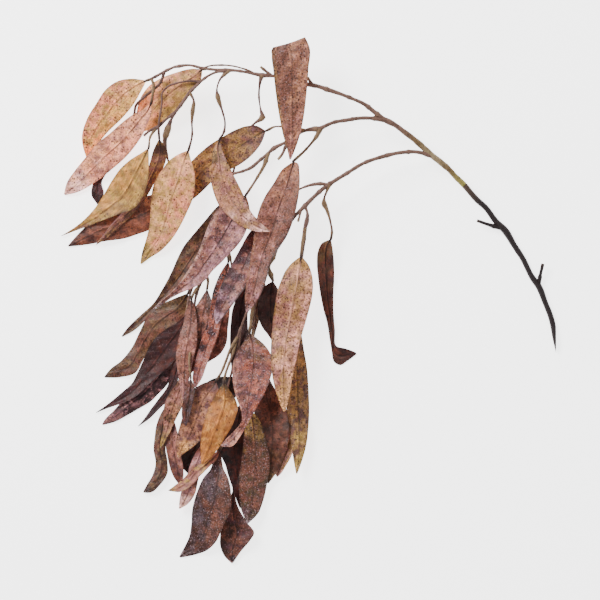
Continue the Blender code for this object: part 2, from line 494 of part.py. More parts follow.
def pile_under(pile, rights, downs):
    return pile[cells_at(rights, downs)]


def add_to_pile(pile, rights, downs, tops):
    across, along = cells_at(rights, downs)
    for i in (-1, 0, 1):
        for j in (-1, 0, 1):
            np.maximum.at(pile, (across + i, along + j), tops)


def rest_heights(distance, need, start):
    """Heights of a piece that starts at its carrier and falls until something bears it."""
    near = np.abs(distance[:, None] - distance[None, :])
    held = np.where(near <= EASE, need[None, :], -np.inf).max(axis=1)
    held = np.maximum(held, start - FALL * distance)
    ramp = (held[None, :] - CLIMB * near).max(axis=1)
    smooth = np.where(near <= EASE, ramp[None, :], 0).sum(axis=1) / (near <= EASE).sum(axis=1)
    blend = np.clip(distance / JOINT_BLEND, 0, 1)
    return start + (smooth - start) * blend * blend * (3 - 2 * blend)


# Leaf blades

def edge_points(leaf, fractions):
    """Left and right edge places of a leaf's blade, in plan."""
    base = leaf.stalk[-1][:2]
    left = through([base, *leaf.left, leaf.tip], fractions)
    right = through([base, *leaf.right, leaf.tip], fractions)
    return left, right


def section(leaf_name, tilt, width, fractions, across):
    """Height of a blade's surface over its midrib. across runs from -1 at the left to 1."""
    draw = random.Random(leaf_name)
    cup = CUP * draw.choice((-1, 1, 1)) * draw.uniform(*CUP_RANGE)
    phase = draw.uniform(0, 2 * np.pi)
    turn = 2 * np.pi * WAVES * draw.uniform(*WAVES_RANGE)
    half = width / 2
    height = WAVE * np.minimum(half / FULL_WAVE_FROM, 1)
    wave = height * np.sin(phase + turn * fractions + WAVE_SLANT * across)
    return half * (cup * np.abs(across) + tilt * across) + wave * np.abs(across)


def midline(leaf, fractions):
    left, right = edge_points(leaf, fractions)
    return (left + right) / 2


def nearest_on(route, right, down):
    """The place on a carrier's route that lies nearest in plan."""
    fine = resample(route, ROUTE_STEP)
    return fine[np.argmin(np.hypot(fine[:, 0] - right, fine[:, 1] - down))]


def lay_leaf(pile, leaf, carrier):
    """Heights along a leaf, from its carrier to its tip, over what already lies there."""
    joint = nearest_on(carrier, *leaf.stalk[0][:2])
    stalk = resample([(*joint[:2], joint[3]), *leaf.stalk[1:]], SAMPLE_STEP)
    stations = max(8, int(distances([leaf.stalk[-1][:2], leaf.tip])[-1] / SAMPLE_STEP))
    fractions = np.linspace(END_TRIM, 1 - END_TRIM, stations)
    left, right = edge_points(leaf, fractions)
    path = np.vstack([stalk[:, :2], (left + right) / 2])
    distance = distances(path)
    across = np.linspace(-1, 1, SAMPLES_ACROSS)[None, :]
    spread = (across[..., None] + 1) / 2
    places = left[:, None, :] * (1 - spread) + right[:, None, :] * spread
    width = np.linalg.norm(right - left, axis=1)[:, None]
    lift = section(leaf.name, leaf.tilt, width, fractions[:, None], across)
    strip = np.maximum(width / (SAMPLES_ACROSS - 1), NARROWEST_STRIP)
    lean = np.sqrt(1 + (np.gradient(lift, axis=1) / strip) ** 2)
    skin = BLADE_THICKNESS / 2 * np.minimum(lean, STEEPEST_LEAN)
    blade_need = (pile_under(pile, places[..., 0], places[..., 1]) + LAYER_GAP + skin - lift).max(axis=1)
    stalk_need = pile_under(pile, stalk[:, 0], stalk[:, 1]) + LAYER_GAP + stalk[:, 2] / 2
    need = np.concatenate([stalk_need, blade_need])
    need[distance < JOINT_FREE] = -np.inf
    heights = rest_heights(distance, need, joint[2])
    add_to_pile(pile, stalk[:, 0], stalk[:, 1], heights[:len(stalk)] + stalk[:, 2] / 2)
    tops = heights[len(stalk):, None] + lift + skin
    add_to_pile(pile, places[..., 0], places[..., 1], tops)
    stalk_route = np.column_stack([stalk[:, :2], heights[:len(stalk)], stalk[:, 2]])
    return stalk_route, fractions, heights[len(stalk):]


def lay_route(pile, route):
    fine = resample(route, SAMPLE_STEP)
    add_to_pile(pile, fine[:, 0], fine[:, 1], fine[:, 2] + fine[:, 3] / 2)


# Meshes

def material(name, colour, roughness):
    finish = bpy.data.materials.new(name)
    finish.use_nodes = True
    shader = finish.node_tree.nodes["Principled BSDF"]
    shader.inputs["Base Color"].default_value = (*colour, 1.0)
    shader.inputs["Roughness"].default_value = roughness
    shader.inputs["Metallic"].default_value = 0.0
    finish.diffuse_color = (*colour, 1.0)
    return finish


def evaluated_mesh(thing):
    """A mesh of an object as the viewport shows it."""
    graph = bpy.context.evaluated_depsgraph_get()
    return bpy.data.meshes.new_from_object(thing.evaluated_get(graph))


def mesh_object(name, mesh, collection):
    thing = bpy.data.objects.new(name, mesh)
    collection.objects.link(thing)
    return thing


def tube(name, route, sides, collection, extra=0.0):
    """A round twig along (right, down, height, diameter) places, as a closed mesh."""
    curve = bpy.data.curves.new(name, "CURVE")
    curve.dimensions = "3D"
    curve.bevel_depth = 1.0
    curve.bevel_resolution = (sides - 4) // 2
    curve.use_fill_caps = True
    spline = curve.splines.new("POLY")
    spline.points.add(len(route) - 1)
    for point, (right, down, height, diameter) in zip(spline.points, route):
        point.co = (*place(right, down, height), 1)
        point.radius = (diameter / 2 + extra) * MM
    guide = bpy.data.objects.new(name, curve)
    collection.objects.link(guide)
    bpy.context.view_layer.update()
    mesh = evaluated_mesh(guide)
    bpy.data.objects.remove(guide)
    shape = bmesh.new()
    shape.from_mesh(mesh)
    bmesh.ops.remove_doubles(shape, verts=shape.verts, dist=WELD)
    bmesh.ops.recalc_face_normals(shape, faces=shape.faces)
    shape.to_mesh(mesh)
    shape.free()
    return mesh_object(name, mesh, collection)


def blade(name, stations, place_at, collection):
    """A leaf blade: a grid bent to place_at(along, across), split alike and thickened."""
    shape = bmesh.new()
    bmesh.ops.create_grid(shape, x_segments=stations - 1, y_segments=2, size=1)
    for vertex in shape.verts:
        vertex.co = place_at((vertex.co.x + 1) / 2, vertex.co.y)
    bmesh.ops.triangulate(shape, faces=shape.faces, quad_method="FIXED")
    bmesh.ops.recalc_face_normals(shape, faces=shape.faces)
    mesh = bpy.data.meshes.new(name)
    shape.to_mesh(mesh)
    shape.free()
    sheet = mesh_object(name, mesh, collection)
    skin = sheet.modifiers.new("Thickness", "SOLIDIFY")
    skin.thickness = BLADE_THICKNESS * MM
    skin.offset = 0
    bpy.context.view_layer.update()
    solid = mesh_object(name + "_solid", evaluated_mesh(sheet), collection)
    bpy.data.objects.remove(sheet)
    return solid


def laid_blade(leaf, fractions, heights, collection):
    """The blade of a leaf at the heights where it came to rest."""
    def place_at(along, across):
        fraction = np.array([END_TRIM + (1 - 2 * END_TRIM) * along])
        left, right = edge_points(leaf, fraction)
        width = np.linalg.norm(right - left, axis=1)
        rise = section(leaf.name, leaf.tilt, width, fraction, across)[0]
        spot = (left * (1 - across) + right * (1 + across))[0] / 2
        return place(*spot, np.interp(fraction[0], fractions, heights) + rise)
    return blade(leaf.name, BLADE_STATIONS, place_at, collection)


def folded_blade(collection):
    def place_at(along, across):
        fraction = np.array([along])
        left = through(FOLDED_LEFT, fraction)[0]
        right = through(FOLDED_RIGHT, fraction)[0]
        return place(*((left * (1 - across) + right * (1 + across)) / 2))
    return blade("folded_blade", FOLDED_STATIONS, place_at, collection)


def combine(first, operation, group):
    """Joins the group's bodies to the first, or cuts them from it, and drops loose scraps."""
    change = first.modifiers.new(operation.title(), "BOOLEAN")
    change.operation = operation
    change.operand_type = "COLLECTION"
    change.collection = group
    change.solver = "MANIFOLD"
    bpy.context.view_layer.update()
    mesh = evaluated_mesh(first)
    first.modifiers.clear()
    first.data = mesh
    drop_scraps(mesh)


def drop_scraps(mesh):
    """Keeps only the largest connected body of a mesh."""
    shape = bmesh.new()
    shape.from_mesh(mesh)
    bodies = []
    unseen = set(shape.verts)
    while unseen:
        body = {unseen.pop()}
        edge_of_body = list(body)
        while edge_of_body:
            vertex = edge_of_body.pop()
            for edge in vertex.link_edges:
                other = edge.other_vert(vertex)
                if other in unseen:
                    unseen.discard(other)
                    body.add(other)
                    edge_of_body.append(other)
        bodies.append(body)
    bodies.sort(key=len)
    for scrap in bodies[:-1]:
        bmesh.ops.delete(shape, geom=list(scrap), context="VERTS")
    shape.to_mesh(mesh)
    shape.free()


def fuse(name, pieces, home):
    """One body from overlapping pieces."""
    first, *others = pieces
    group = bpy.data.collections.new(name + " pieces")
    for piece in others:
        group.objects.link(piece)
    if others:
        combine(first, "UNION", group)
    for piece in others:
        bpy.data.objects.remove(piece)
    bpy.data.collections.remove(group)
    first.name = name
    first.data.name = name
    for collection in list(first.users_collection):
        collection.objects.unlink(first)
    home.objects.link(first)
    first.data.shade_smooth()
    first.data.set_sharp_from_angle(angle=SHARP_ANGLE)
    return first


def block(name, centre, size, collection):
    """A cutter box, in board places."""
    bpy.ops.mesh.primitive_cube_add(size=1, location=place(*centre))
    cube = bpy.context.object
    cube.name = name
    cube.data.transform(cube.matrix_basis.Diagonal((*[side * MM for side in size], 1)))
    for other in list(cube.users_collection):
        other.objects.unlink(cube)
    collection.objects.link(cube)
    return cube


# The wood

def stem_halves():
    """The stem's smooth route, split at the collar with a small gap."""
    fine = resample(STEM, ROUTE_STEP)
    collar = STEM[COLLAR_AT]
    split = int(np.argmin(np.hypot(fine[:, 0] - collar[0], fine[:, 1] - collar[1])))
    along = distances(fine)
    lower = through(STEM, np.linspace(0, along[split] / along[-1], LOWER_STEM_POINTS))
    start = (along[split] + COLLAR_GAP) / along[-1]
    upper = through(STEM, np.linspace(start, 1, UPPER_STEM_POINTS))
    return lower, upper


def lower_stem(home, work):
    route, _ = stem_halves()
    pieces = [tube("stem_rod", route, STEM_SIDES, work)]
    for name, stub in STEM_STUBS.items():
        pieces.append(tube(name, resample(stub, TUBE_STEP), TWIG_SIDES, work))
    stem = fuse("lower_stem", pieces, home)
    cutters = bpy.data.collections.new("Stem cutters")
    end_middle = (CUT_RIGHT + CUT_BLOCK / 2, CUT_MIDDLE_DOWN, 0)
    block("End cut", end_middle, (CUT_BLOCK, CUT_LENGTH, CUT_BLOCK), cutters)
    flat_middle = (*FLAT_MIDDLE, -CUT_BLOCK / 2)
    block("Resting flat", flat_middle, (FLAT_SIDE, FLAT_SIDE, CUT_BLOCK), cutters)
    combine(stem, "DIFFERENCE", cutters)
    for cutter in list(cutters.objects):
        bpy.data.objects.remove(cutter)
    bpy.data.collections.remove(cutters)
    stem.data.materials.clear()
    stem.data.materials.append(material("Dark bark", DARK_BARK, BARK_ROUGHNESS))


def upper_stem(home, work):
    _, route = stem_halves()
    pieces = [tube("upper_rod", route, STEM_SIDES, work)]
    for name, arm in ARMS.items():
        pieces.append(tube(name, resample(arm, TUBE_STEP), TWIG_SIDES, work))
    stem = fuse("upper_stem_and_arms", pieces, home)
    stem.data.materials.append(material("Tan bark", TAN_BARK, BARK_ROUGHNESS))


# The sprays and single leaves

def carrier_route(name):
    return TWIGS[name].route if name in TWIGS else ARMS[name]


def node_of(leaf):
    """A leaf on a twig belongs to that twig's spray, and any other is a node of its own."""
    return TWIGS[leaf.carrier].spray if leaf.carrier in TWIGS else leaf.name + "_leaf"


def lay_everything():
    """Where each leaf comes to rest, from the lowest up."""
    pile = new_pile()
    rest = {}
    for leaf in LOWER_LEAVES:
        rest[leaf.name] = lay_leaf(pile, leaf, carrier_route(leaf.carrier))
    for name in [*ARMS, *TWIGS]:
        lay_route(pile, carrier_route(name))
    for leaf in UPPER_LEAVES:
        rest[leaf.name] = lay_leaf(pile, leaf, carrier_route(leaf.carrier))
    return rest


def leaf_pieces(leaf, rest, work):
    """A leaf's blade and its stalk, which runs on into the blade as its midrib."""
    stalk, fractions, heights = rest[leaf.name]
    solid = laid_blade(leaf, fractions, heights, work)
    rib = np.linspace(fractions[0], RIB_IN_BLADE, RIB_POINTS)
    along_rib = midline(leaf, rib)
    thin = stalk[-1][3] * np.linspace(*RIB_TAPER, RIB_POINTS)
    rib_route = np.column_stack([along_rib, np.interp(rib, fractions, heights), thin])
    count = max(2, int(round(distances(stalk)[-1] / TUBE_STEP)) + 1)
    picked = through(stalk, np.linspace(0, 1, count))
    rod = tube(leaf.name + "_stalk", np.vstack([picked, rib_route[1:]]), STALK_SIDES, work)
    return [rod, solid]


def seat(body, carrier, work):
    """Cuts a body's root to the round of its carrier, with a small gap."""
    seats = bpy.data.collections.new("Seat")
    fat = tube("seat_" + carrier, resample(ARMS[carrier], TUBE_STEP), TWIG_SIDES, work, SEAT_GAP)
    seats.objects.link(fat)
    combine(body, "DIFFERENCE", seats)
    bpy.data.objects.remove(fat)
    bpy.data.collections.remove(seats)


def finish(body):
    leaf_skin = material(body.name.replace("_", " "), NODE_COLOURS[body.name], LEAF_ROUGHNESS)
    body.data.materials.clear()
    body.data.materials.append(leaf_skin)


def sprays_and_leaves(home, work):
    rest = lay_everything()
    pieces = {}
    carriers = {}
    for name, twig in TWIGS.items():
        pieces[twig.spray] = [tube(name, resample(twig.route, TUBE_STEP), TWIG_SIDES, work)]
        carriers[twig.spray] = twig.carrier
    for leaf in LOWER_LEAVES + UPPER_LEAVES:
        node = node_of(leaf)
        carriers.setdefault(node, leaf.carrier)
        pieces[node] = pieces.get(node, []) + leaf_pieces(leaf, rest, work)
    folded_route = resample(FOLDED_STALK, FOLDED_STALK_STEP)
    folded_stalk = tube("folded_stalk", folded_route, STALK_SIDES, work)
    pieces["folded_leaf"] = [folded_stalk, folded_blade(work)]
    carriers["folded_leaf"] = "arm_a"
    for node, solids in pieces.items():
        body = fuse(node, solids, home)
        seat(body, carriers[node], work)
        finish(body)


def main():
    for thing in list(bpy.data.objects):
        bpy.data.objects.remove(thing)
    home = bpy.data.collections.new("Eucalyptus branch")
    work = bpy.data.collections.new("Work")
    bpy.context.scene.collection.children.link(home)
    bpy.context.scene.collection.children.link(work)
    lower_stem(home, work)
    upper_stem(home, work)
    sprays_and_leaves(home, work)
    bpy.data.collections.remove(work)


main()
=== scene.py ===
"""A cut eucalyptus branch lying on a table, dressed in its skin and bark.

Every leaf is laid again by the rule that laid its solid, as a finer and thinner blade, so it
keeps its form and place. Each spray or single leaf is one finished piece.
"""

import random
from collections import namedtuple

import bpy
import numpy as np
from bpy.props import FloatProperty, FloatVectorProperty, IntProperty, PointerProperty
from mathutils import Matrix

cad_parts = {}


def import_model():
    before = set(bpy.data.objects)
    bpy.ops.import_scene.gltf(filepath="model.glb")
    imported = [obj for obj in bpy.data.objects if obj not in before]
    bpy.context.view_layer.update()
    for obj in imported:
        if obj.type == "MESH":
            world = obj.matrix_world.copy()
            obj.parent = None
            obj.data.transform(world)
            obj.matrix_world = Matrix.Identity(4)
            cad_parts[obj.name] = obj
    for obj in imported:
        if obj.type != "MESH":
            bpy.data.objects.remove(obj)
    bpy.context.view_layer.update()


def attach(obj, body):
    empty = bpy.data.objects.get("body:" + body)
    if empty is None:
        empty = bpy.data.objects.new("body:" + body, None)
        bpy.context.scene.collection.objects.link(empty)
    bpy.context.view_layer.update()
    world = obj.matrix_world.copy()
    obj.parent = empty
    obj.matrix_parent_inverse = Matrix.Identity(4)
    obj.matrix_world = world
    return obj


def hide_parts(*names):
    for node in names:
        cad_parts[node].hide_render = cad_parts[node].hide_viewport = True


bl_info = {
    "name": "Eucalyptus branch",
    "version": (1, 0, 0),
    "blender": (4, 5, 0),
    "location": "View3D > Sidebar > Branch",
    "description": "Dresses a cut eucalyptus branch with fine leaves, stalks and bark",
    "category": "Add Mesh",
}

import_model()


MM = 0.001
FULL_TURN = 2 * np.pi

# The board, and the place on it that is the origin
BOARD = 600
MIDDLE_RIGHT = 308.39
MIDDLE_DOWN = 302.355

# Leaves, as laid
BLADE_THICKNESS = 0.8
END_TRIM = 0.012
CUP = 0.16
CUP_RANGE = (0.6, 1.3)
WAVE = 1.1
WAVES = 2.4
WAVES_RANGE = (0.8, 1.2)
WAVE_SLANT = 0.9
FULL_WAVE_FROM = 8.0

# How pieces lie on one another: the pile is known in square cells of the board
CELL = 2.0
LAYER_GAP = 1.2
FLOOR_GAP = 0.1
SAMPLE_STEP = 2.0
SAMPLES_ACROSS = 21
ROUTE_STEP = 1.0
EASE = 9.0
FALL = 0.36
CLIMB = 0.5
JOINT_FREE = 9.0
JOINT_BLEND = 14.0
STEEPEST_LEAN = 2.0
NARROWEST_STRIP = 0.05

# Fine form of a blade: how sharp its fold is along the midrib, the groove there, the ripple
# of its dried edge and the crinkle of its skin
FOLD_ROUND = 0.16
GROOVE_DEPTH = 0.22
GROOVE_WIDTH = 0.8
RIPPLE = 0.36
RIPPLES = 11
RIPPLE_SLANT = 1.3
CRINKLE = 0.42
CRINKLES_ALONG = 35.7
FOLDED_CRINKLES_ALONG = 31
CRINKLES_ACROSS = 5.5
CRINKLE_SLANT = 2
CRINKLE_TURN = 9

# How many times the cross sections the folded leaf has, and at how many points a blade is measured
FOLDED_STATIONS = 1.5
LENGTH_POINTS = 30

# The midrib that stands under and over a blade: its end and taper as shares of the blade's
# length and of the stalk, its points, and how much of the groove it lies in
RIB_END = 0.93
RIB_TAPER = (0.8, 0.26)
RIB_POINTS = 34
RIB_SINK = 0.6

# A leaf's map: mm in one unit, the step between side veins, and how many places leaves start at
MAP_SIZE = 100
VEIN_STEP = 6.0
LEAF_STARTS = 400

# A soft field on a blade: how many waves it sums, how tightly they turn, and their full height
SWIRL_WAVES = 6
SWIRL_TURNS = (0.6, 1.5)
SWIRL_HEIGHT = 2.4

# Where a blade's tones meet. A border says where the second tone starts and where it is full,
# as shares of the half width or of the length. It wanders over hills of so many mm. The tip of
# a leaf with more flecks than FROSTY_LEAF gets more of them.
SIDE_BORDER = (-0.55, 0.55)
SIDE_WANDER = 0.7
SIDE_HILLS = 9
BASE_BORDER = (0.02, 0.32)
TIP_BORDER = (0.68, 0.98)
END_WANDER = 0.10
END_HILLS = 11
STAIN_FROM = 0.8
STAIN_SPREAD = 1.4
STAIN_FULL = 1.2
STAIN_SHARE = 0.45
STAIN_HILLS = 8
MARGIN_BORDER = (0.72, 0.96)
MARGIN_START = (0.10, 0.45)
MARGIN_SHARE = 0.85
FROSTY_LEAF = 0.2
TIP_FROST = 0.35
TIP_FROST_BORDER = (0.9, 1.0)

# Bark: how far the diameter wanders, the step of its points, and its knuckles
KNOBBLE = 0.07
BARK_STEP = 2.2
STEM_KNOBBLE = 0.055
LOWER_KNOBBLE = 0.03
KNUCKLE = 0.32
KNUCKLE_LENGTH = 1.5
KNUCKLE_STEPS = (12, 25)

# The relief of the stem's bark: the lower stem's share of it, the size of its knots in mm, and
# the level that stays where it is
LOWER_RELIEF = 0.35
LOWER_KNOTS = 7
UPPER_KNOTS = 6
RELIEF_LEVEL = 0.55

# Bark and its fibres make a stalk, twig or arm stouter than its laid core
STOUT_STALK = 1.6
STOUT_TWIG = 1.4
STOUT_ARM = 1.18

# A sleeve's tone shows where a rod is this many times as thick as usual
ROD_SLEEVE = (1.5, 2.0)
STALK_SLEEVE = (1.8, 2.5)

# A rod's stains as shares of its tone, the shares of a leaf's stalk and midrib over which the
# stalk darkens and the midrib's tone comes in, and how much darker than the skin a midrib gets
ROD_STAIN = 0.55
STALK_STAIN = 0.6
BLADE_FOOT = 0.1
RIB_START = 0.06
RIB_DARKEST = 0.82

# Meshes: sides of thin and of stout rods, points along the stem's two parts, the gap in mm at
# which points are one, the angle in radians up to which edges are smooth, and the least gap in
# mm over the table
THIN_SIDES = 8
ARM_SIDES = 10
LOWER_POINTS = 110
UPPER_POINTS = 70
WELD_GAP = 0.01
SMOOTH_ANGLE = 1.0
TABLE_GAP = 0.05

# The stem's slanted end, and the gap between its parts at the collar
CUT_RIGHT = 557.0
COLLAR_GAP = 0.45

# The stage: where the soft lights stand and how wide they are, in metres, how many mm the floor
# lies under the branch, the camera's sensor in mm, the height in mm at which the board fills the
# picture, and how many times its own height the camera sees
KEY_SPOT = (-1.1, 1.2, 1.45)
KEY_WIDTH = 0.9
FILL_SPOT = (1.0, -0.5, 1.6)
FILL_WIDTH = 1.6
FLOOR_DROP = 0.3
SENSOR_WIDTH = 36
PILE_MIDDLE = 22
FARTHEST_SEEN = 3

# The stem's route: right, down, height, diameter
STEM = [
    (563, 366, 2.4, 5.6), (557, 341, 2.4, 5.8), (552, 317.5, 2.4, 5.8), (546, 302, 2.4, 5.8),
    (539.5, 286, 2.4, 6.6), (533, 277, 2.5, 5.8), (524, 259, 2.7, 5.8), (515, 245, 3.1, 6.0),
    (505.6, 230, 3.9, 7.2), (497, 221.5, 4.7, 6.0), (486, 207, 6.3, 5.6), (477, 199, 7.7, 5.8),
    (472, 193.5, 8.8, 5.6), (464.8, 185, 10.6, 6.0), (456.5, 177, 12.2, 5.6), (449, 169, 13.8, 5.9),
    (440, 161.5, 15.8, 6.3), (431, 154.5, 17.9, 6.3), (423, 147, 19.5, 6.1), (413, 138.5, 21.5, 5.6),
    (403, 131, 23.5, 5.4), (394, 124.5, 25, 5.2), (388, 121.5, 26, 6.2), (380, 118, 27.5, 5.0),
]
COLLAR_AT = 13

# What grows from the lower stem and is cut short
STEM_STUBS = {
    "lower_stub": [(539.5, 286, 2.4, 4.4), (540.6, 278, 4.4, 3.8), (543.6, 263.7, 7.5, 3.6)],
    "upper_stub": [
        (503, 228, 4.3, 4.4), (496, 226.4, 5.4, 3.8), (488, 224, 6.8, 3.5), (477.6, 220.4, 8.5, 3.4),
    ],
}

# The arms and the side arms hidden under the leaves
ARMS = {
    "arm_a": [
        (384, 119.6, 26.8, 4.4), (374, 112, 29, 3.9), (365, 105, 31, 3.4), (352, 99, 33, 3.2),
        (339, 94, 35, 3.2), (327, 90, 36.5, 4.0), (318, 87, 37.5, 3.2), (310, 85.5, 38, 3.6),
        (292, 82, 39, 2.8), (275, 77, 40, 2.8), (262, 76, 40.5, 3.6), (251, 74, 40.5, 2.6),
        (237, 71.5, 40.5, 2.4), (228.5, 71, 40.5, 3.0), (215, 70.5, 40, 2.3), (203, 69, 39.5, 2.6),
        (190, 66, 38.5, 2.2), (175, 67.5, 37, 2.8),
    ],
    "arm_b": [
        (385, 120.5, 26.5, 4.2), (371, 118.4, 29, 3.4), (358.6, 118.6, 31, 3.2), (346, 120.6, 32.5, 3.2),
        (333, 123, 34, 3.0), (324, 127, 35, 3.4), (320, 129, 35, 4.0), (312.7, 129.5, 35, 3.8),
        (303.7, 131.4, 35, 2.9), (284, 143.5, 34.5, 2.6), (274, 148.6, 34, 3.4), (268, 153.7, 34, 2.6),
        (259, 161.4, 33, 2.6), (251.4, 167.8, 32, 3.0), (242.5, 171.6, 31, 2.3), (232, 175, 30, 2.3),
        (227, 188, 29, 2.2), (225, 205, 28, 2.2), (224, 222, 26.5, 2.2), (221, 240, 25, 2.2),
        (214, 258, 23, 2.4),
    ],
    "arm_c": [
        (434, 157, 17.6, 3.8), (424.6, 153.6, 20, 3.5), (417, 152, 21.5, 3.3), (402, 152.5, 24, 3.3),
        (380, 157.5, 26.5, 3.3), (365, 162.7, 28, 3.2), (346, 174, 30, 3.4), (333, 182, 31, 3.6),
        (325.4, 187, 31.5, 3.6), (314, 197, 32, 3.2), (304, 207, 32, 3.8), (295, 216, 32, 3.0),
        (287, 227, 31, 2.7), (280, 240, 30, 2.6), (275, 252, 29, 2.6), (268, 266, 28, 2.5),
        (261, 282, 27, 2.4), (256, 296, 26, 2.3), (253, 306, 25, 2.2),
    ],
    "side_arm_d": [
        (258, 290, 26.4, 2.2), (252, 301, 25.6, 2.0), (247, 312, 24, 1.9), (240, 330, 22, 1.8),
        (235.6, 343, 20.4, 2.1),
    ],
    "side_arm_e": [
        (262.5, 278, 27.2, 2.2), (258, 291, 22.5, 2.0), (254.5, 308, 19.5, 1.9), (253, 330, 16.5, 1.8),
        (252.5, 350, 14.5, 1.8), (251, 370, 12.5, 2.0),
    ],
    "upper_strand": [
        (256, 75, 40.5, 1.6), (249, 71.5, 41.5, 1.5), (242.5, 69.3, 42, 1.5), (233.6, 67, 42, 1.5),
        (222, 66, 41.5, 1.5), (209, 67, 40.5, 1.5), (203, 69, 39.5, 1.5),
    ],
    "arm_a_stub": [(313, 86, 38, 3.0), (310, 82, 39, 2.6), (307.6, 78, 40, 2.3)],
    "arm_a_second_stub": [(272, 76.6, 40, 2.8), (266, 72, 41, 2.4), (260.6, 67.6, 42, 2.0)],
    "arm_b_stub": [(287, 142, 34.5, 2.6), (282, 155, 35.5, 2.3), (278, 160, 36, 2.1)],
    "arm_c_stub": [(301, 210, 32, 2.4), (299.5, 216, 33, 1.9), (298, 222, 33.5, 1.7)],
    "arm_c_side_twig": [
        (329, 185, 31.3, 2.8), (322, 184, 32, 2.6), (315, 184.4, 32, 3.0), (305, 187, 31.5, 1.9),
        (296, 191, 30.5, 1.6),
    ],
}

# Twigs that carry several leaves, each with the arm that carries it
Twig = namedtuple("Twig", "spray carrier route")
TWIGS = {
    "end_twig": Twig("arm_end_spray", "arm_a", [
        (175, 67.5, 37, 2.0), (165, 72, 35.5, 2.0), (157, 76.5, 34, 1.9), (150, 80, 33, 1.8)]),
    "hanging_twig": Twig("hanging_spray", "arm_a", [
        (228.5, 71, 40.5, 2.2), (215, 73.5, 40, 2.0), (205, 79, 39, 2.0), (197, 86, 38, 2.2),
        (190, 93, 37, 2.4), (183, 103, 35.5, 2.0), (176, 112, 34, 2.2), (165, 121, 32, 1.9),
        (157, 128, 30.5, 2.3), (150, 131, 29.5, 1.8), (144, 136, 28.5, 1.8)]),
    "plum_twig": Twig("plum_spray", "arm_b", [
        (224, 224, 26.3, 1.8), (227, 235, 25.2, 1.8), (228, 247, 24, 1.8)]),
    "fan_twig": Twig("left_fan_spray", "arm_b", [
        (216, 253, 23.6, 1.9), (207, 262, 21.5, 1.8), (198, 274, 19.5, 1.8), (192, 288, 18, 1.8),
        (188, 303, 17, 1.8), (187, 318, 16, 1.8), (185, 332, 15, 1.7), (182, 346, 14, 1.6)]),
    "rose_twig": Twig("rose_spray", "arm_b", [
        (214, 258, 23, 1.9), (208, 270, 22, 1.9), (201, 283, 21, 1.8), (196, 296, 20, 1.8),
        (194, 312, 19, 1.8), (193, 330, 18, 1.8), (191, 348, 17, 1.7), (188, 364, 16, 1.7),
        (184, 376, 15, 1.6)]),
    "right_twig": Twig("front_right_spray", "arm_c", [
        (305, 206.5, 32, 2.2), (307.5, 214, 32, 1.7), (306.6, 222, 31.6, 3.4), (305, 228, 31, 2.6),
        (304, 233, 30.6, 2.2)]),
    "pink_twig": Twig("pink_spray", "side_arm_d", [
        (240, 330, 22, 1.8), (238.5, 348, 17, 1.8), (233.5, 365, 14, 1.7), (229, 382, 12, 1.7),
        (224, 402, 10, 1.7), (221, 425, 9, 1.6), (219, 440, 8, 1.5)]),
    "foot_twig": Twig("foot_spray", "side_arm_e", [
        (251, 370, 12.5, 1.7), (249, 390, 10.5, 1.7), (246, 410, 9, 1.6)]),
}

# A leaf: the route of its stalk (right, down, diameter) from its carrier to the blade's base,
# then the blade's two edges and its tip, and how much the blade is rolled.
Leaf = namedtuple("Leaf", "name carrier stalk left right tip tilt", defaults=(0.1,))

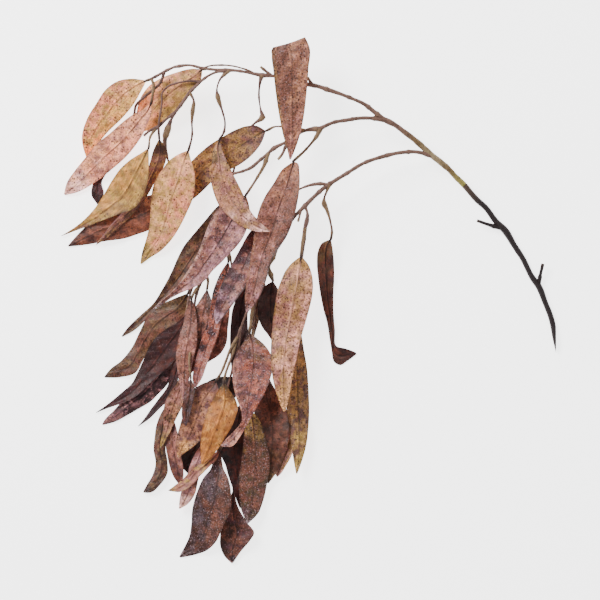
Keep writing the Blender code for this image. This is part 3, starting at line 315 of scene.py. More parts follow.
# The leaves that lie under the arms, from the lowest up
LOWER_LEAVES = [
    Leaf("salmon", "arm_a",
         [(206, 69, 1.8), (203, 70, 1.8)],
         [(190, 69.5), (175, 73), (159, 79), (149.5, 85), (142, 94), (136.5, 110)],
         [(201, 81), (191, 94), (183, 105), (173, 115), (163, 122), (151, 129)], (137, 132), 0.2),
    Leaf("kite", "foot_twig",
         [(246, 410, 1.4), (240, 432, 1.4), (234, 455, 1.6), (235, 475, 1.3), (233, 490, 1.3)],
         [(227, 506), (222, 520), (220, 535), (220, 547), (224, 557)],
         [(238, 508), (246, 522), (254, 534), (250, 541), (241, 552)], (232, 565), 0.25),
    Leaf("dark_foot", "foot_twig",
         [(249, 390, 1.4), (246, 396, 1.4), (242, 402, 1.3)],
         [(233, 413), (226, 428), (220, 443), (220.5, 455), (225, 465), (228, 476), (232, 488), (236, 500)],
         [(246, 413), (248, 428), (248, 446), (247.5, 462), (246, 480), (243, 497)], (240, 510), -0.1),
    Leaf("grey_sliver", "side_arm_e",
         [(252.5, 348, 1.4), (262, 367, 1.4), (274, 390, 1.3), (285, 410, 1.3), (292, 424, 1.3)],
         [(285, 438), (280, 452), (276, 464), (274.5, 472)],
         [(295, 440), (291, 457), (286, 466), (281, 474)], (277, 478), 0.7),
    Leaf("hollow", "pink_twig",
         [(222, 420, 1.3), (212, 428, 1.2), (202, 436, 1.2)],
         [(192, 443), (183, 452), (178.7, 459), (181, 467)],
         [(201, 450), (197, 460), (193, 468)], (187, 474), 0.3),
    Leaf("twisted", "rose_twig",
         [(184, 375, 1.4), (178, 388, 1.3), (171, 400, 1.3)],
         [(161, 413), (156, 425), (154, 438), (153, 450), (155, 464), (152, 476), (146, 486)],
         [(169, 415), (167, 432), (165, 448), (167, 462), (167, 474), (160, 485), (151, 493)],
         (142, 493.5), 0.3),
    Leaf("mauve_drop", "rose_twig",
         [(184, 375, 1.4), (180, 395, 1.3), (173, 418, 1.3)],
         [(167, 431), (165, 443), (167, 456), (169, 466), (173, 477)],
         [(177, 432), (179, 445), (181, 457), (183, 468), (183, 478)], (180, 487), 0.35),
    Leaf("under_left", "hanging_twig",
         [(176, 112, 1.4), (171, 121, 1.7), (168, 129, 4.2), (165, 139, 3.2), (167, 156, 1.5),
          (172, 175, 1.5), (174, 190, 1.5)],
         [(161, 192), (145, 196), (127, 202), (108, 210), (92, 220), (78, 233)],
         [(167, 211), (158, 223), (148, 230), (137, 234), (125, 238), (105, 241), (85, 244.5)],
         (66, 246.5)),
    Leaf("plum_peek", "end_twig",
         [(165, 72, 1.5), (160, 84, 1.6), (150, 92.5, 1.9), (142, 99, 1.6), (136, 105, 1.5),
          (134, 114, 1.4), (126, 132, 1.4), (114, 150, 1.4)],
         [(103, 162), (96, 172), (92, 183), (90.5, 194)],
         [(112, 165), (105, 174), (101, 182), (103, 193)], (97, 205)),
    Leaf("end_back", "end_twig",
         [(150, 80, 1.6), (147, 81, 1.8)],
         [(132, 79), (118, 81), (107, 88), (96, 103), (86, 119), (81, 137), (83, 150)],
         [(141, 92), (134, 104), (122, 118), (108, 131), (99, 141), (91, 150)], (86, 158.5)),
    Leaf("dark_left", "arm_a",
         [(262, 76, 1.9), (260, 84, 1.5), (259, 95, 1.4), (261, 111, 1.5), (262.5, 117, 3.4),
          (255, 123, 1.5), (249, 129, 1.4), (242, 144, 1.4), (236, 161, 1.4), (231, 180, 1.4),
          (228, 197, 1.5)],
         [(215, 208), (204, 221), (193, 234), (184, 245), (177, 258), (171, 272), (163, 287),
          (153, 303), (139, 316), (126, 329)],
         [(228, 214), (222, 231), (212, 249), (201, 265), (190, 278), (178, 289), (165, 300),
          (152, 311), (144, 321), (133, 331)], (119.5, 338)),
    Leaf("dark_red", "plum_twig",
         [(228, 247, 1.4), (231, 262, 1.3), (233, 277, 1.3), (232, 291, 1.3)],
         [(223, 302), (216, 316), (211, 330), (207, 344), (204, 355)],
         [(230, 305), (229, 318), (227.5, 330), (226.5, 342), (221, 353)], (207, 363), 0.45),
    Leaf("olive_back", "arm_c",
         [(270, 262, 1.3), (266, 268, 1.3), (262, 274, 1.3)],
         [(256, 286), (251.5, 299), (250.5, 314), (251, 327)],
         [(266, 288), (265, 301), (261, 314), (257, 327)], (254, 337), 0.3),
    Leaf("black_long", "arm_c",
         [(263, 277, 1.4), (255, 279, 1.3), (247, 283, 1.3)],
         [(239, 294), (233, 307), (230.5, 325), (230, 350), (231, 365), (233, 377)],
         [(248, 298), (247.5, 320), (248.5, 340), (248, 360), (245, 377)], (239, 389), 0.2),
    Leaf("black_back", "side_arm_e",
         [(253, 330, 1.3), (250, 350, 1.3), (244, 369, 1.3)],
         [(233, 376.5), (221, 377), (209, 381), (199, 391)],
         [(241, 385), (235, 398), (223, 408), (207, 413)], (191, 411), 0.2),
    Leaf("maroon", "arm_c",
         [(276, 249, 1.8), (272.5, 259, 2.6), (269, 267, 1.6), (271, 275, 3.0), (273, 281, 1.6)],
         [(264, 287), (260, 295), (258, 305), (258, 316), (262, 327), (268, 335)],
         [(279, 291), (282, 303), (283, 316), (281, 328), (277, 336)], (272.5, 342), 0.2),
    Leaf("khaki_long", "right_twig",
         [(305, 228, 1.5), (304, 245, 1.4), (301, 264, 1.4), (298, 283, 1.4), (297, 299, 1.4)],
         [(290, 314), (287, 334), (286, 356), (286, 380), (286, 402), (288, 424), (291, 443),
          (293.5, 460)],
         [(301, 314), (301.5, 334), (304, 350), (307, 368), (308.5, 388), (309.3, 408),
          (308.5, 428), (306, 447), (302, 461)], (296.5, 476), -0.15),
    Leaf("rust", "fan_twig",
         [(196, 280, 1.5), (191, 286, 1.5), (188, 293, 1.6)],
         [(175, 298), (160, 305), (148, 315), (140, 330), (131, 348), (120.5, 361), (110, 369)],
         [(188, 307), (184, 318), (172, 327), (160, 336), (149, 349), (142, 361), (135, 373),
          (120, 377.5)], (102.5, 378)),
    Leaf("lilac", "fan_twig",
         [(188, 322, 1.4), (184, 332, 1.4)],
         [(173, 339), (162, 353), (150, 370), (136, 387), (122, 401), (112, 412), (104, 420)],
         [(184, 349), (176, 362), (171, 378), (165, 387), (158, 394), (150, 402), (140, 408),
          (128, 415), (115, 422)], (100.5, 426), -0.1),
    Leaf("maroon_fan", "fan_twig",
         [(190, 306, 1.4), (186, 314, 1.5)],
         [(178, 322), (168, 328), (158, 335), (150, 345), (143, 360), (137, 373), (131, 384),
          (122, 392), (107, 404.5)],
         [(187, 329), (183, 345), (176, 358), (165, 370), (153, 380), (143, 390), (130, 400),
          (119, 404.5), (106, 409)], (93.5, 414), 0.15),
    Leaf("black_narrow", "fan_twig",
         [(187, 342, 1.3), (182, 350, 1.3)],
         [(175, 362), (170.5, 374), (167, 387), (159, 398), (150, 410), (143, 420)],
         [(181, 364), (178, 380), (172, 392), (166, 402), (158, 410), (149, 419)], (136.5, 427.5), 0.6),
    Leaf("pink_under", "pink_twig",
         [(221, 427, 1.3), (214, 434, 1.3), (206, 440, 1.3)],
         [(196, 452), (190, 465), (186, 478), (181, 492), (179, 502)],
         [(205, 455), (201, 468), (198, 481), (194, 496), (187, 505)], (178.5, 510), 0.3),
]

# The leaves that lie over the arms, from the lowest up
UPPER_LEAVES = [
    Leaf("narrow_dark", "hanging_twig",
         [(201, 82.5, 1.3), (191, 81.5, 1.3), (180, 83, 1.2), (168, 87, 1.2), (163, 92, 1.2),
          (162, 105, 1.2), (160, 118, 1.3), (159, 128, 1.6), (159.5, 139, 1.6)],
         [(154, 150), (150, 163), (145, 178), (137, 193), (126, 208), (113, 222), (102, 236)],
         [(165, 147), (166.5, 158), (163, 168), (155, 181), (147, 195), (136, 210), (121, 225),
          (106, 238)], (94.5, 245.5), -0.5),
    Leaf("olive_speckled", "arm_b",
         [(303.7, 131.4, 1.7), (292, 127.6, 1.3), (281, 126.6, 1.2), (274, 127, 1.2), (269, 129.5, 1.9),
          (266, 131, 1.4)],
         [(257, 126), (247, 126), (235, 130), (222, 137), (210, 144), (200, 152), (190, 162),
          (181, 175), (175, 190)],
         [(262, 142), (255, 152), (245, 161), (235, 167), (228, 170), (219, 176), (211, 182),
          (203, 190), (194, 198), (184, 204)], (171, 209)),
    Leaf("chestnut", "side_arm_e",
         [(251, 366, 1.5), (258, 369, 1.5), (263, 373, 1.5)],
         [(257, 386), (254, 401), (254.5, 420), (256, 440), (258, 458), (262, 473)],
         [(271, 383), (279, 399), (287, 415), (289, 433), (285, 453), (277, 472)], (268, 485)),
    Leaf("mottled", "rose_twig",
         [(206, 273, 1.6), (208, 281, 1.5), (207, 289, 1.5)],
         [(200, 300), (193, 312), (191.5, 325), (192, 338), (191, 350), (189, 362)],
         [(212, 302), (212, 316), (210, 331), (206, 344), (202, 357), (197, 366)], (191, 374), 0.2),
    Leaf("lilac_low", "plum_twig",
         [(227.5, 242, 1.6), (227.5, 251, 1.5), (228.5, 261, 1.5)],
         [(221, 272), (216, 283), (213, 292), (211, 305), (209, 318), (206, 328), (202, 338),
          (199, 348), (196, 358), (194, 368), (192.5, 379)],
         [(231, 275), (228, 290), (225, 304), (222, 318), (219, 331), (215, 343), (210, 356),
          (206, 367), (202, 378)], (195, 389), 0.2),
    Leaf("tan", "rose_twig",
         [(185, 366, 1.5), (181.5, 374, 1.5)],
         [(175, 386), (169, 394), (164.5, 404), (163, 416), (163, 428), (160.5, 440)],
         [(186, 387), (185, 400), (180, 411), (174, 423), (169, 434), (164, 443)], (159.5, 450), 0.2),
    Leaf("ochre_wide", "hanging_twig",
         [(157, 128, 1.5), (150.5, 137, 1.4), (149, 148, 1.4)],
         [(142, 153), (132, 159), (121, 168), (112, 180), (103, 195), (95, 207), (85, 218), (74, 227)],
         [(149, 168), (147, 185), (142, 198), (134, 208), (120, 213.5), (108, 218), (95, 223),
          (79, 229)], (58.5, 236.5), 0.12),
    Leaf("purple_wide", "pink_twig",
         [(220, 433, 1.7), (219.5, 445, 1.7)],
         [(214, 457), (210, 470), (204, 477), (199, 487), (195, 498), (192, 511), (191, 525),
          (189, 537), (184, 548)],
         [(221.5, 459), (223, 468), (228, 478), (230.5, 488), (231, 500), (230, 512), (225.5, 521),
          (221, 531), (216, 542), (207, 551), (194, 556)], (178, 559)),
    Leaf("mottled_foot", "foot_twig",
         [(247, 402, 1.5), (248, 406, 1.5), (250, 410, 1.5)],
         [(246, 422), (244, 434), (243, 447), (241.5, 460), (239, 477), (239, 492), (240.5, 508)],
         [(258, 418), (264, 433), (268, 450), (269.5, 467), (267, 484), (263.5, 500), (258, 514)],
         (247, 525), -0.1),
    Leaf("rust_orange", "side_arm_d",
         [(237.4, 337, 1.5), (231, 348, 1.6), (226, 361, 1.6), (221, 373, 1.5), (216, 381, 1.6)],
         [(207, 382), (198, 386), (191, 392), (187, 401), (184, 412), (180, 425), (177, 436),
          (175.5, 447)],
         [(219, 391), (217, 403), (212, 415), (208, 427), (202, 438), (194, 446), (186, 452)],
         (177.5, 459)),
    Leaf("pink_front", "pink_twig",
         [(219.2, 437, 1.5), (222, 444, 1.4), (220, 450, 1.4)],
         [(213, 454), (202, 463), (191, 470.5), (184, 478), (175, 485.5)],
         [(217, 459), (209, 467), (199, 477), (190.5, 486.5), (180, 492)], (167.5, 491), 0.3),
    Leaf("dark_plum", "arm_c",
         [(287, 227, 1.6), (277, 223, 1.5), (267, 220, 1.5), (258, 222, 1.5)],
         [(249, 233), (240, 249), (233, 262), (228, 272), (222, 284), (218, 295), (215.5, 305),
          (214, 315)],
         [(260, 238), (258, 255), (254, 270), (248, 284), (240, 295), (232, 306), (225, 315)],
         (216.5, 325), 0.1),
    Leaf("rose_brown", "rose_twig",
         [(200, 285, 1.5), (195, 291, 1.6), (191.5, 298, 1.6)],
         [(186, 310), (183, 325), (179.5, 336), (177, 347), (176, 358), (177.5, 370), (179.5, 382),
          (181, 393)],
         [(195, 307), (197, 321), (197.5, 335), (196.5, 346), (194, 357), (191, 369), (189, 381),
          (187.5, 393)], (184, 403), 0.2),
    Leaf("end_front", "end_twig",
         [(152, 79, 1.7), (154, 86, 1.7), (153, 95, 1.7), (151.5, 103, 1.7)],
         [(143, 109.5), (133, 115), (121, 124), (108, 135), (97, 143), (85, 157), (74, 170), (66, 182)],
         [(151.5, 113), (148.5, 122), (144.5, 132), (137, 144), (126, 157), (113, 168), (100, 178),
          (88, 186), (76, 192)], (62.5, 195)),
    Leaf("peach", "hanging_twig",
         [(190, 93, 1.6), (194, 101, 1.4), (193, 110, 3.2), (192, 121, 1.4), (192, 136, 1.4),
          (188.5, 150, 1.8)],
         [(179, 154), (170, 160), (162, 170), (155, 181), (151, 196), (150, 212), (149, 226),
          (145, 241), (141, 254)],
         [(191, 160), (194.5, 172), (195, 185), (193, 198), (187, 212), (180, 226), (170, 241),
          (160, 251), (149, 258)], (139.5, 265)),
    Leaf("slate_curl", "rose_twig",
         [(187, 342, 1.3), (189.5, 360, 1.3), (191, 378, 1.3)],
         [(186.5, 386), (184, 398), (182, 409), (182.5, 419)],
         [(195, 388), (194, 399), (191, 410), (189, 419)], (186, 426.5), 0.35),
    Leaf("golden", "side_arm_d",
         [(235.6, 343, 1.7), (233, 353, 1.6), (229, 364, 1.5), (225.5, 374, 1.6), (224, 382, 1.6)],
         [(219, 389), (214, 398), (209, 407), (205, 419), (202, 432), (200.5, 447)],
         [(231, 392), (236, 400), (238, 408), (236, 416), (232, 426), (226, 436), (220, 446),
          (212, 456)], (201.5, 465)),
    Leaf("mauve_rose", "arm_c",
         [(253, 306, 1.9), (251, 320, 1.8), (249.5, 333, 1.8)],
         [(243, 343), (236.5, 353), (233, 366), (233, 381), (236, 396), (241, 410), (242, 420),
          (235, 430), (227, 438)],
         [(258, 339), (266, 346.5), (271.5, 356), (272.5, 368), (269.5, 381), (263, 396),
          (255, 410), (247.5, 424), (240.5, 436), (232, 446)], (220, 446), 0.05),
    Leaf("front_rose", "arm_b",
         [(320, 129.5, 2.6), (317, 136, 2.4), (312.5, 142, 1.7), (304.5, 151, 1.6), (298, 157, 2.0),
          (293, 161.5, 1.8)],
         [(282, 170), (274, 183), (266, 195), (261, 205), (257.5, 216), (255, 232), (252, 250),
          (249, 268), (246, 287), (245, 302)],
         [(297.5, 163), (299.5, 173), (299.5, 188), (297, 205), (293, 221), (287, 236), (278, 250),
          (271, 262), (268, 274), (264, 287), (258, 300)], (246.5, 314)),
    Leaf("mauve_left", "arm_b",
         [(269, 153, 2.2), (264, 166, 2.4), (257, 178, 1.7), (250, 189, 1.6), (246, 195, 1.7)],
         [(232, 200), (219, 208.5), (212, 218), (207.5, 228), (203, 240), (199, 251), (192.5, 263),
          (185, 275), (177, 286), (168, 295), (160, 302)],
         [(249.5, 207), (249.5, 219), (247, 229), (243, 238), (235.5, 248), (228.5, 255),
          (221, 263), (213, 270.5), (205, 280.5), (195, 287), (183, 292), (172, 297.5), (163, 303.5)],
         (151.5, 310)),
    Leaf("front_pink", "right_twig",
         [(304, 233, 2.0), (302, 246, 1.7), (301, 256, 1.8)],
         [(292, 263), (285.5, 271), (281, 281), (277.5, 291), (275.5, 302), (273.5, 316),
          (272, 332), (271, 347), (271, 362), (273, 379), (277, 395), (281, 406)],
         [(308, 264), (311.5, 273), (313, 283), (312.5, 294), (310, 306), (306.5, 319), (303, 331),
          (299.5, 343), (297, 356), (294, 370), (291, 386), (288, 402)], (284.5, 413)),
    Leaf("far_right", "arm_c",
         [(329, 184.8, 1.9), (326.5, 192, 1.5), (324.3, 198, 1.5), (324, 203, 3.4), (327, 210, 2.2),
          (330.5, 222, 1.6), (332, 232, 1.5), (331, 239, 1.6)],
         [(322, 243), (318, 251), (317, 263), (318, 276), (320, 291), (323.5, 309), (327.5, 324),
          (330, 340), (332, 352), (334.5, 362.5), (340, 365.5), (348, 361)],
         [(332.6, 248), (334, 262), (334.4, 277), (333.6, 294), (333.6, 312), (335, 330),
          (337, 346.5), (345, 348.5), (351, 350.5)], (358, 353.5), 0.25),
    Leaf("middle_pink", "arm_a",
         [(229.5, 71, 1.8), (220, 80.5, 1.5), (217, 91, 1.4), (218, 97.5, 3.2), (222, 110, 1.4),
          (225, 123, 1.4), (223.5, 133, 1.6), (219.5, 139, 1.7)],
         [(213.5, 149), (212, 164), (211, 180), (214.5, 195), (220, 207), (228.5, 216), (238, 224),
          (248, 229.5), (258, 232)],
         [(221.5, 148), (226.5, 160), (232, 172), (237.5, 183), (242.5, 193), (247, 204),
          (252.5, 214), (260, 222)], (271, 232)),
]

# The leaf that folds over at the top: its edges carry their heights. It climbs from arm A,
# turns over and hangs down in front of both arms.
FOLDED_STALK = [(291, 82, 39, 1.9), (291, 75, 40, 2.2), (291, 68, 42.4, 1.2)]
FOLDED_LEFT = [
    (289, 76, 40), (280, 69, 41.5), (274, 60, 43), (271.6, 51.6, 46), (273.4, 48.6, 49), (272, 55, 51),
    (273.5, 72, 51), (276, 95, 49.6), (279, 115, 48), (283, 135, 46), (287.5, 151, 44), (289.5, 160, 42.6),
]
FOLDED_RIGHT = [
    (294, 76, 40), (303, 68, 41.5), (308, 57, 43), (308.6, 46, 46), (305, 38.6, 49), (309.6, 49, 51),
    (308.5, 70, 51), (306.5, 95, 49.6), (303.5, 119, 48), (299, 139, 46), (294, 153, 44), (291, 160, 42.6),
]

# Skin tones by name, as sRGB hex
TONES = {
    "peach": "#f5ab85", "salmon": "#e08f70", "dusty pink": "#e2a18f",
    "pale pink": "#f6c4ba", "straw": "#e8b07a", "ochre": "#cc9450", "gold": "#a96c34",
    "tan": "#a37158", "khaki": "#93703f", "olive": "#5f4930", "moss": "#41341e",
    "orange": "#e07e4e", "rust": "#7a442f", "brick": "#985340", "brown": "#6b4235",
    "chestnut": "#572f24", "umber": "#3c241c", "mahogany": "#471e18", "maroon": "#321413",
    "black maroon": "#180708", "plum": "#4c2d33", "dark plum": "#2e181d", "mauve": "#a9777a",
    "sage": "#aa8c48", "rose": "#98645a", "lilac": "#b990a2", "slate": "#4e3e45",
}

# How a leaf is coloured: the skin left and right of the midrib, near the base and at the tip, the stains
# and how much of the skin they take, how dense the dark dots and the frosty flecks are, how dark the midrib
# is (below 0, how pale), and the margins where they differ. The two sides' tones are partly the leaf's own
# and partly painted shade, the half turned from the light taking the darker tone; a pale margin is partly
# painted highlight on the lit edge and a dark one partly painted shade on the shaded edge. The frosty
# flecks are partly bloom and partly painted glints.
Look = namedtuple("Look", "left right base tip stain stains dots frost rib margin_left margin_right",
                  defaults=(None, None))
LOOKS = {
    "salmon": Look("peach", "khaki", "tan", "straw", "sage", 0.28, 0.35, 0.10, 0.2),
    "kite": Look("umber", "plum", "brown", "dark plum", "brown", 0.38, 0.30, 0.30, 0.6),
    # The black maroon tones of the leaves deep in the pile, such as black_back, are partly painted shade,
    # as dark as they look in their recess.
    "dark_foot": Look("black maroon", "maroon", "maroon", "maroon", "mahogany", 0.30, 0.10, 0.05, 0.5),
    "grey_sliver": Look("olive", "khaki", "olive", "khaki", "mauve", 0.40, 0.50, 0.20, 0.4),
    "hollow": Look("black maroon", "black maroon", "brown", "black maroon", "maroon", 0.2, 0.1, 0.0, 0.4),
    "twisted": Look("chestnut", "umber", "brown", "maroon", "olive", 0.32, 0.45, 0.12, 0.5),
    "mauve_drop": Look("brown", "rose", "rose", "brown", "plum", 0.32, 0.30, 0.22, 0.6),
    "under_left": Look("brown", "rust", "tan", "maroon", "chestnut", 0.35, 0.35, 0.10, 0.7),
    "plum_peek": Look("dark plum", "plum", "ochre", "dark plum", "black maroon", 0.15, 0.10, 0.10, 0.4),
    "end_back": Look("salmon", "ochre", "straw", "orange", "sage", 0.26, 0.60, 0.12, 0.3),
    "dark_left": Look("umber", "brown", "umber", "maroon", "olive", 0.32, 0.35, 0.16, 0.7,
                      None, "black maroon"),
    "dark_red": Look("chestnut", "brown", "umber", "chestnut", "rose", 0.25, 0.15, 0.15, 0.6),
    "olive_back": Look("brown", "brown", "olive", "umber", "olive", 0.35, 0.25, 0.05, 0.5),
    "black_long": Look("maroon", "maroon", "mahogany", "black maroon", "dark plum", 0.3, 0.1, 0.08, 0.3),
    "black_back": Look("black maroon", "black maroon", "maroon", "black maroon", "umber", 0.25, 0.15,
                       0.0, 0.3),
    "maroon": Look("maroon", "black maroon", "mahogany", "maroon", "umber", 0.30, 0.10, 0.05, 0.5),
    "khaki_long": Look("khaki", "khaki", "brown", "sage", "plum", 0.42, 0.60, 0.28, 0.5),
    "rust": Look("chestnut", "brown", "olive", "umber", "olive", 0.36, 0.50, 0.12, 0.5),
    "lilac": Look("plum", "dark plum", "brown", "dark plum", "mauve", 0.20, 0.25, 0.22, 0.6),
    "maroon_fan": Look("maroon", "mahogany", "mahogany", "plum", "dark plum", 0.38, 0.15, 0.20, 0.5),
    "black_narrow": Look("maroon", "maroon", "mahogany", "dark plum", "dark plum", 0.35, 0.10, 0.10, 0.4),
    "pink_under": Look("mauve", "rose", "umber", "pale pink", "brown", 0.30, 0.30, 0.45, 0.6),
    "narrow_dark": Look("rose", "brown", "umber", "chestnut", "khaki", 0.25, 0.40, 0.12, 0.6,
                        "mauve", None),
    "olive_speckled": Look("khaki", "khaki", "brown", "umber", "plum", 0.30, 0.95, 0.20, 0.1),
    "chestnut": Look("chestnut", "brown", "chestnut", "olive", "umber", 0.30, 0.45, 0.14, 0.5),
    "mottled": Look("brown", "rose", "chestnut", "mauve", "umber", 0.40, 0.60, 0.34, 0.4),
    "lilac_low": Look("dark plum", "rose", "black maroon", "mauve", "brick", 0.34, 0.15, 0.45, 0.5),
    "tan": Look("rose", "tan", "mauve", "sage", "olive", 0.36, 0.55, 0.25, 0.6),
    "ochre_wide": Look("ochre", "khaki", "ochre", "brown", "sage", 0.34, 0.12, 0.05, 0.7,
                       None, "olive"),
    "purple_wide": Look("slate", "brown", "dark plum", "dark plum", "umber", 0.34, 0.80, 0.40, 0.3),
    "mottled_foot": Look("brown", "brown", "sage", "plum", "moss", 0.30, 0.80, 0.42, 0.3),
    "rust_orange": Look("tan", "tan", "chestnut", "ochre", "plum", 0.36, 0.45, 0.24, 0.5),
    "pink_front": Look("rose", "rose", "rose", "olive", "sage", 0.22, 0.30, 0.22, 0.6),
    "dark_plum": Look("plum", "rose", "maroon", "lilac", "dark plum", 0.36, 0.20, 0.40, 0.6,
                      None, "black maroon"),
    "rose_brown": Look("rose", "rose", "chestnut", "mauve", "brown", 0.36, 0.50, 0.34, 0.7),
    "end_front": Look("peach", "salmon", "peach", "pale pink", "rose", 0.30, 0.60, 0.26, 0.8),
    "peach": Look("straw", "salmon", "peach", "olive", "sage", 0.34, 0.38, 0.14, 0.1),
    "slate_curl": Look("chestnut", "umber", "brown", "plum", "slate", 0.30, 0.30, 0.22, 0.5),
    "golden": Look("gold", "gold", "moss", "gold", "ochre", 0.10, 0.08, 0.0, 0.1),
    "mauve_rose": Look("rose", "brick", "olive", "dusty pink", "plum", 0.38, 0.60, 0.42, 0.6,
                       "dusty pink", None),
    "front_rose": Look("rose", "brown", "tan", "mauve", "brown", 0.34, 0.50, 0.34, 0.6,
                       "tan", "maroon"),
    "mauve_left": Look("rose", "mauve", "tan", "brown", "plum", 0.36, 0.45, 0.40, 1.0,
                       "pale pink", None),
    "front_pink": Look("rose", "dusty pink", "khaki", "straw", "khaki", 0.34, 1.00, 0.18, -0.3),
    "far_right": Look("umber", "maroon", "olive", "maroon", "chestnut", 0.34, 0.25, 0.05, 0.4),
    "middle_pink": Look("tan", "rose", "olive", "pale pink", "khaki", 0.28, 0.55, 0.24, 0.3),
    "folded": Look("brown", "tan", "slate", "rose", "brown", 0.32, 1.00, 0.34, 0.5,
                   "khaki", None),
}

# Oil glands, and frosty flecks, which are partly bloom and partly painted glints
GLAND_TONE = "#2a100c"
FROST_AND_GLINT_TONE = "#d9bcc4"

# What the skin turns to from place to place, as shares of its red, green and blue
WARM = (1.10, 0.98, 0.76, 1)
COOL = (1.00, 0.88, 0.98, 1)

# Wood and stalks
STALK_TONE = "#60453f"
STALK_DARK = "#2e1c1a"
SLEEVE_TONE = "#7c6248"
COLLAR_TONE = "#8a8040"
STEM_TONE = "#6a5336"
STEM_PALE_TONE = "#8d7a5c"
ARM_TONE = "#6b4f44"
ARM_END_TONE = "#6f5248"
DARK_BARK_TONE = "#1c1113"
DARK_BARK_HIGH = "#342727"
BARK_SCAR_TONE = "#9c8a80"
COLLAR_FOOT_TONE = "#4a382c"
CUT_WOOD_TONE = "#93795a"
STUB_END_TONE = "#3c2a24"
# Points and curves

def distances(points):
    """How far along the board each point of a route lies."""
    steps = np.linalg.norm(np.diff(np.asarray(points, float)[:, :2], axis=0), axis=1)
    return np.concatenate([[0.0], np.cumsum(steps)])


def through(points, fractions):
    """Places on a smooth curve through the points, at fractions of its length."""
    knots = np.asarray(points, float)
    at = distances(knots)
    at = at / at[-1]
    slopes = np.gradient(knots, at, axis=0)
    first = np.clip(np.searchsorted(at, fractions, side="right") - 1, 0, len(at) - 2)
    span = (at[first + 1] - at[first])[:, None]
    t = (np.asarray(fractions) - at[first])[:, None] / span
    ends = knots[first] * (1 + 2 * t) * (1 - t) ** 2 + knots[first + 1] * t * t * (3 - 2 * t)
    return ends + span * t * (1 - t) * (slopes[first] * (1 - t) - slopes[first + 1] * t)


def resample(points, step):
    """Evenly spaced places on the smooth curve through a route."""
    count = max(2, int(round(distances(points)[-1] / step)) + 1)
    return through(points, np.linspace(0, 1, count))


# The pile: how high the laid pieces reach in each cell of the board

def new_pile():
    cells = int(BOARD / CELL) + 4
    return np.full((cells, cells), FLOOR_GAP - LAYER_GAP)


def cells_at(rights, downs):
    return (np.asarray(rights) / CELL).astype(int) + 1, (np.asarray(downs) / CELL).astype(int) + 1


def pile_under(pile, rights, downs):
    return pile[cells_at(rights, downs)]


def add_to_pile(pile, rights, downs, tops):
    across, along = cells_at(rights, downs)
    for i in (-1, 0, 1):
        for j in (-1, 0, 1):
            np.maximum.at(pile, (across + i, along + j), tops)


def rest_heights(distance, need, start):
    """Heights of a piece that starts at its carrier and falls until something bears it."""
    near = np.abs(distance[:, None] - distance[None, :])
    held = np.where(near <= EASE, need[None, :], -np.inf).max(axis=1)
    held = np.maximum(held, start - FALL * distance)
    ramp = (held[None, :] - CLIMB * near).max(axis=1)
    smooth = np.where(near <= EASE, ramp[None, :], 0).sum(axis=1) / (near <= EASE).sum(axis=1)
    blend = np.clip(distance / JOINT_BLEND, 0, 1)
    return start + (smooth - start) * blend * blend * (3 - 2 * blend)


# Leaf blades

def edge_points(leaf, fractions):
    """Left and right edge places of a leaf's blade, in plan."""
    base = leaf.stalk[-1][:2]
    left = through([base, *leaf.left, leaf.tip], fractions)
    right = through([base, *leaf.right, leaf.tip], fractions)
    return left, right


def section(leaf_name, tilt, width, fractions, across):
    """Height of a blade's surface over its midrib. across runs from -1 at the left to 1."""
    draw = random.Random(leaf_name)
    cup = CUP * draw.choice((-1, 1, 1)) * draw.uniform(*CUP_RANGE)
    phase = draw.uniform(0, FULL_TURN)
    turn = FULL_TURN * WAVES * draw.uniform(*WAVES_RANGE)
    half = width / 2
    height = WAVE * np.minimum(half / FULL_WAVE_FROM, 1)
    wave = height * np.sin(phase + turn * fractions + WAVE_SLANT * across)
    return half * (cup * np.abs(across) + tilt * across) + wave * np.abs(across)


def midline(leaf, fractions):
    left, right = edge_points(leaf, fractions)
    return (left + right) / 2


def nearest_on(route, right, down):
    """The place on a carrier's route that lies nearest in plan."""
    fine = resample(route, ROUTE_STEP)
    return fine[np.argmin(np.hypot(fine[:, 0] - right, fine[:, 1] - down))]


def lay_leaf(pile, leaf, carrier):
    """Heights along a leaf, from its carrier to its tip, over what already lies there."""
    joint = nearest_on(carrier, *leaf.stalk[0][:2])
    stalk = resample([(*joint[:2], joint[3]), *leaf.stalk[1:]], SAMPLE_STEP)
    stations = max(8, int(distances([leaf.stalk[-1][:2], leaf.tip])[-1] / SAMPLE_STEP))
    fractions = np.linspace(END_TRIM, 1 - END_TRIM, stations)
    left, right = edge_points(leaf, fractions)
    path = np.vstack([stalk[:, :2], (left + right) / 2])
    distance = distances(path)
    across = np.linspace(-1, 1, SAMPLES_ACROSS)[None, :]
    spread = (across[..., None] + 1) / 2
    places = left[:, None, :] * (1 - spread) + right[:, None, :] * spread
    width = np.linalg.norm(right - left, axis=1)[:, None]
    lift = section(leaf.name, leaf.tilt, width, fractions[:, None], across)
    strip = np.maximum(width / (SAMPLES_ACROSS - 1), NARROWEST_STRIP)
    lean = np.sqrt(1 + (np.gradient(lift, axis=1) / strip) ** 2)
    skin = BLADE_THICKNESS / 2 * np.minimum(lean, STEEPEST_LEAN)
    blade_need = (pile_under(pile, places[..., 0], places[..., 1]) + LAYER_GAP + skin - lift).max(axis=1)
    stalk_need = pile_under(pile, stalk[:, 0], stalk[:, 1]) + LAYER_GAP + stalk[:, 2] / 2
    need = np.concatenate([stalk_need, blade_need])
    need[distance < JOINT_FREE] = -np.inf
    heights = rest_heights(distance, need, joint[2])
    add_to_pile(pile, stalk[:, 0], stalk[:, 1], heights[:len(stalk)] + stalk[:, 2] / 2)
    tops = heights[len(stalk):, None] + lift + skin
    add_to_pile(pile, places[..., 0], places[..., 1], tops)
    stalk_route = np.column_stack([stalk[:, :2], heights[:len(stalk)], stalk[:, 2]])
    return stalk_route, fractions, heights[len(stalk):]


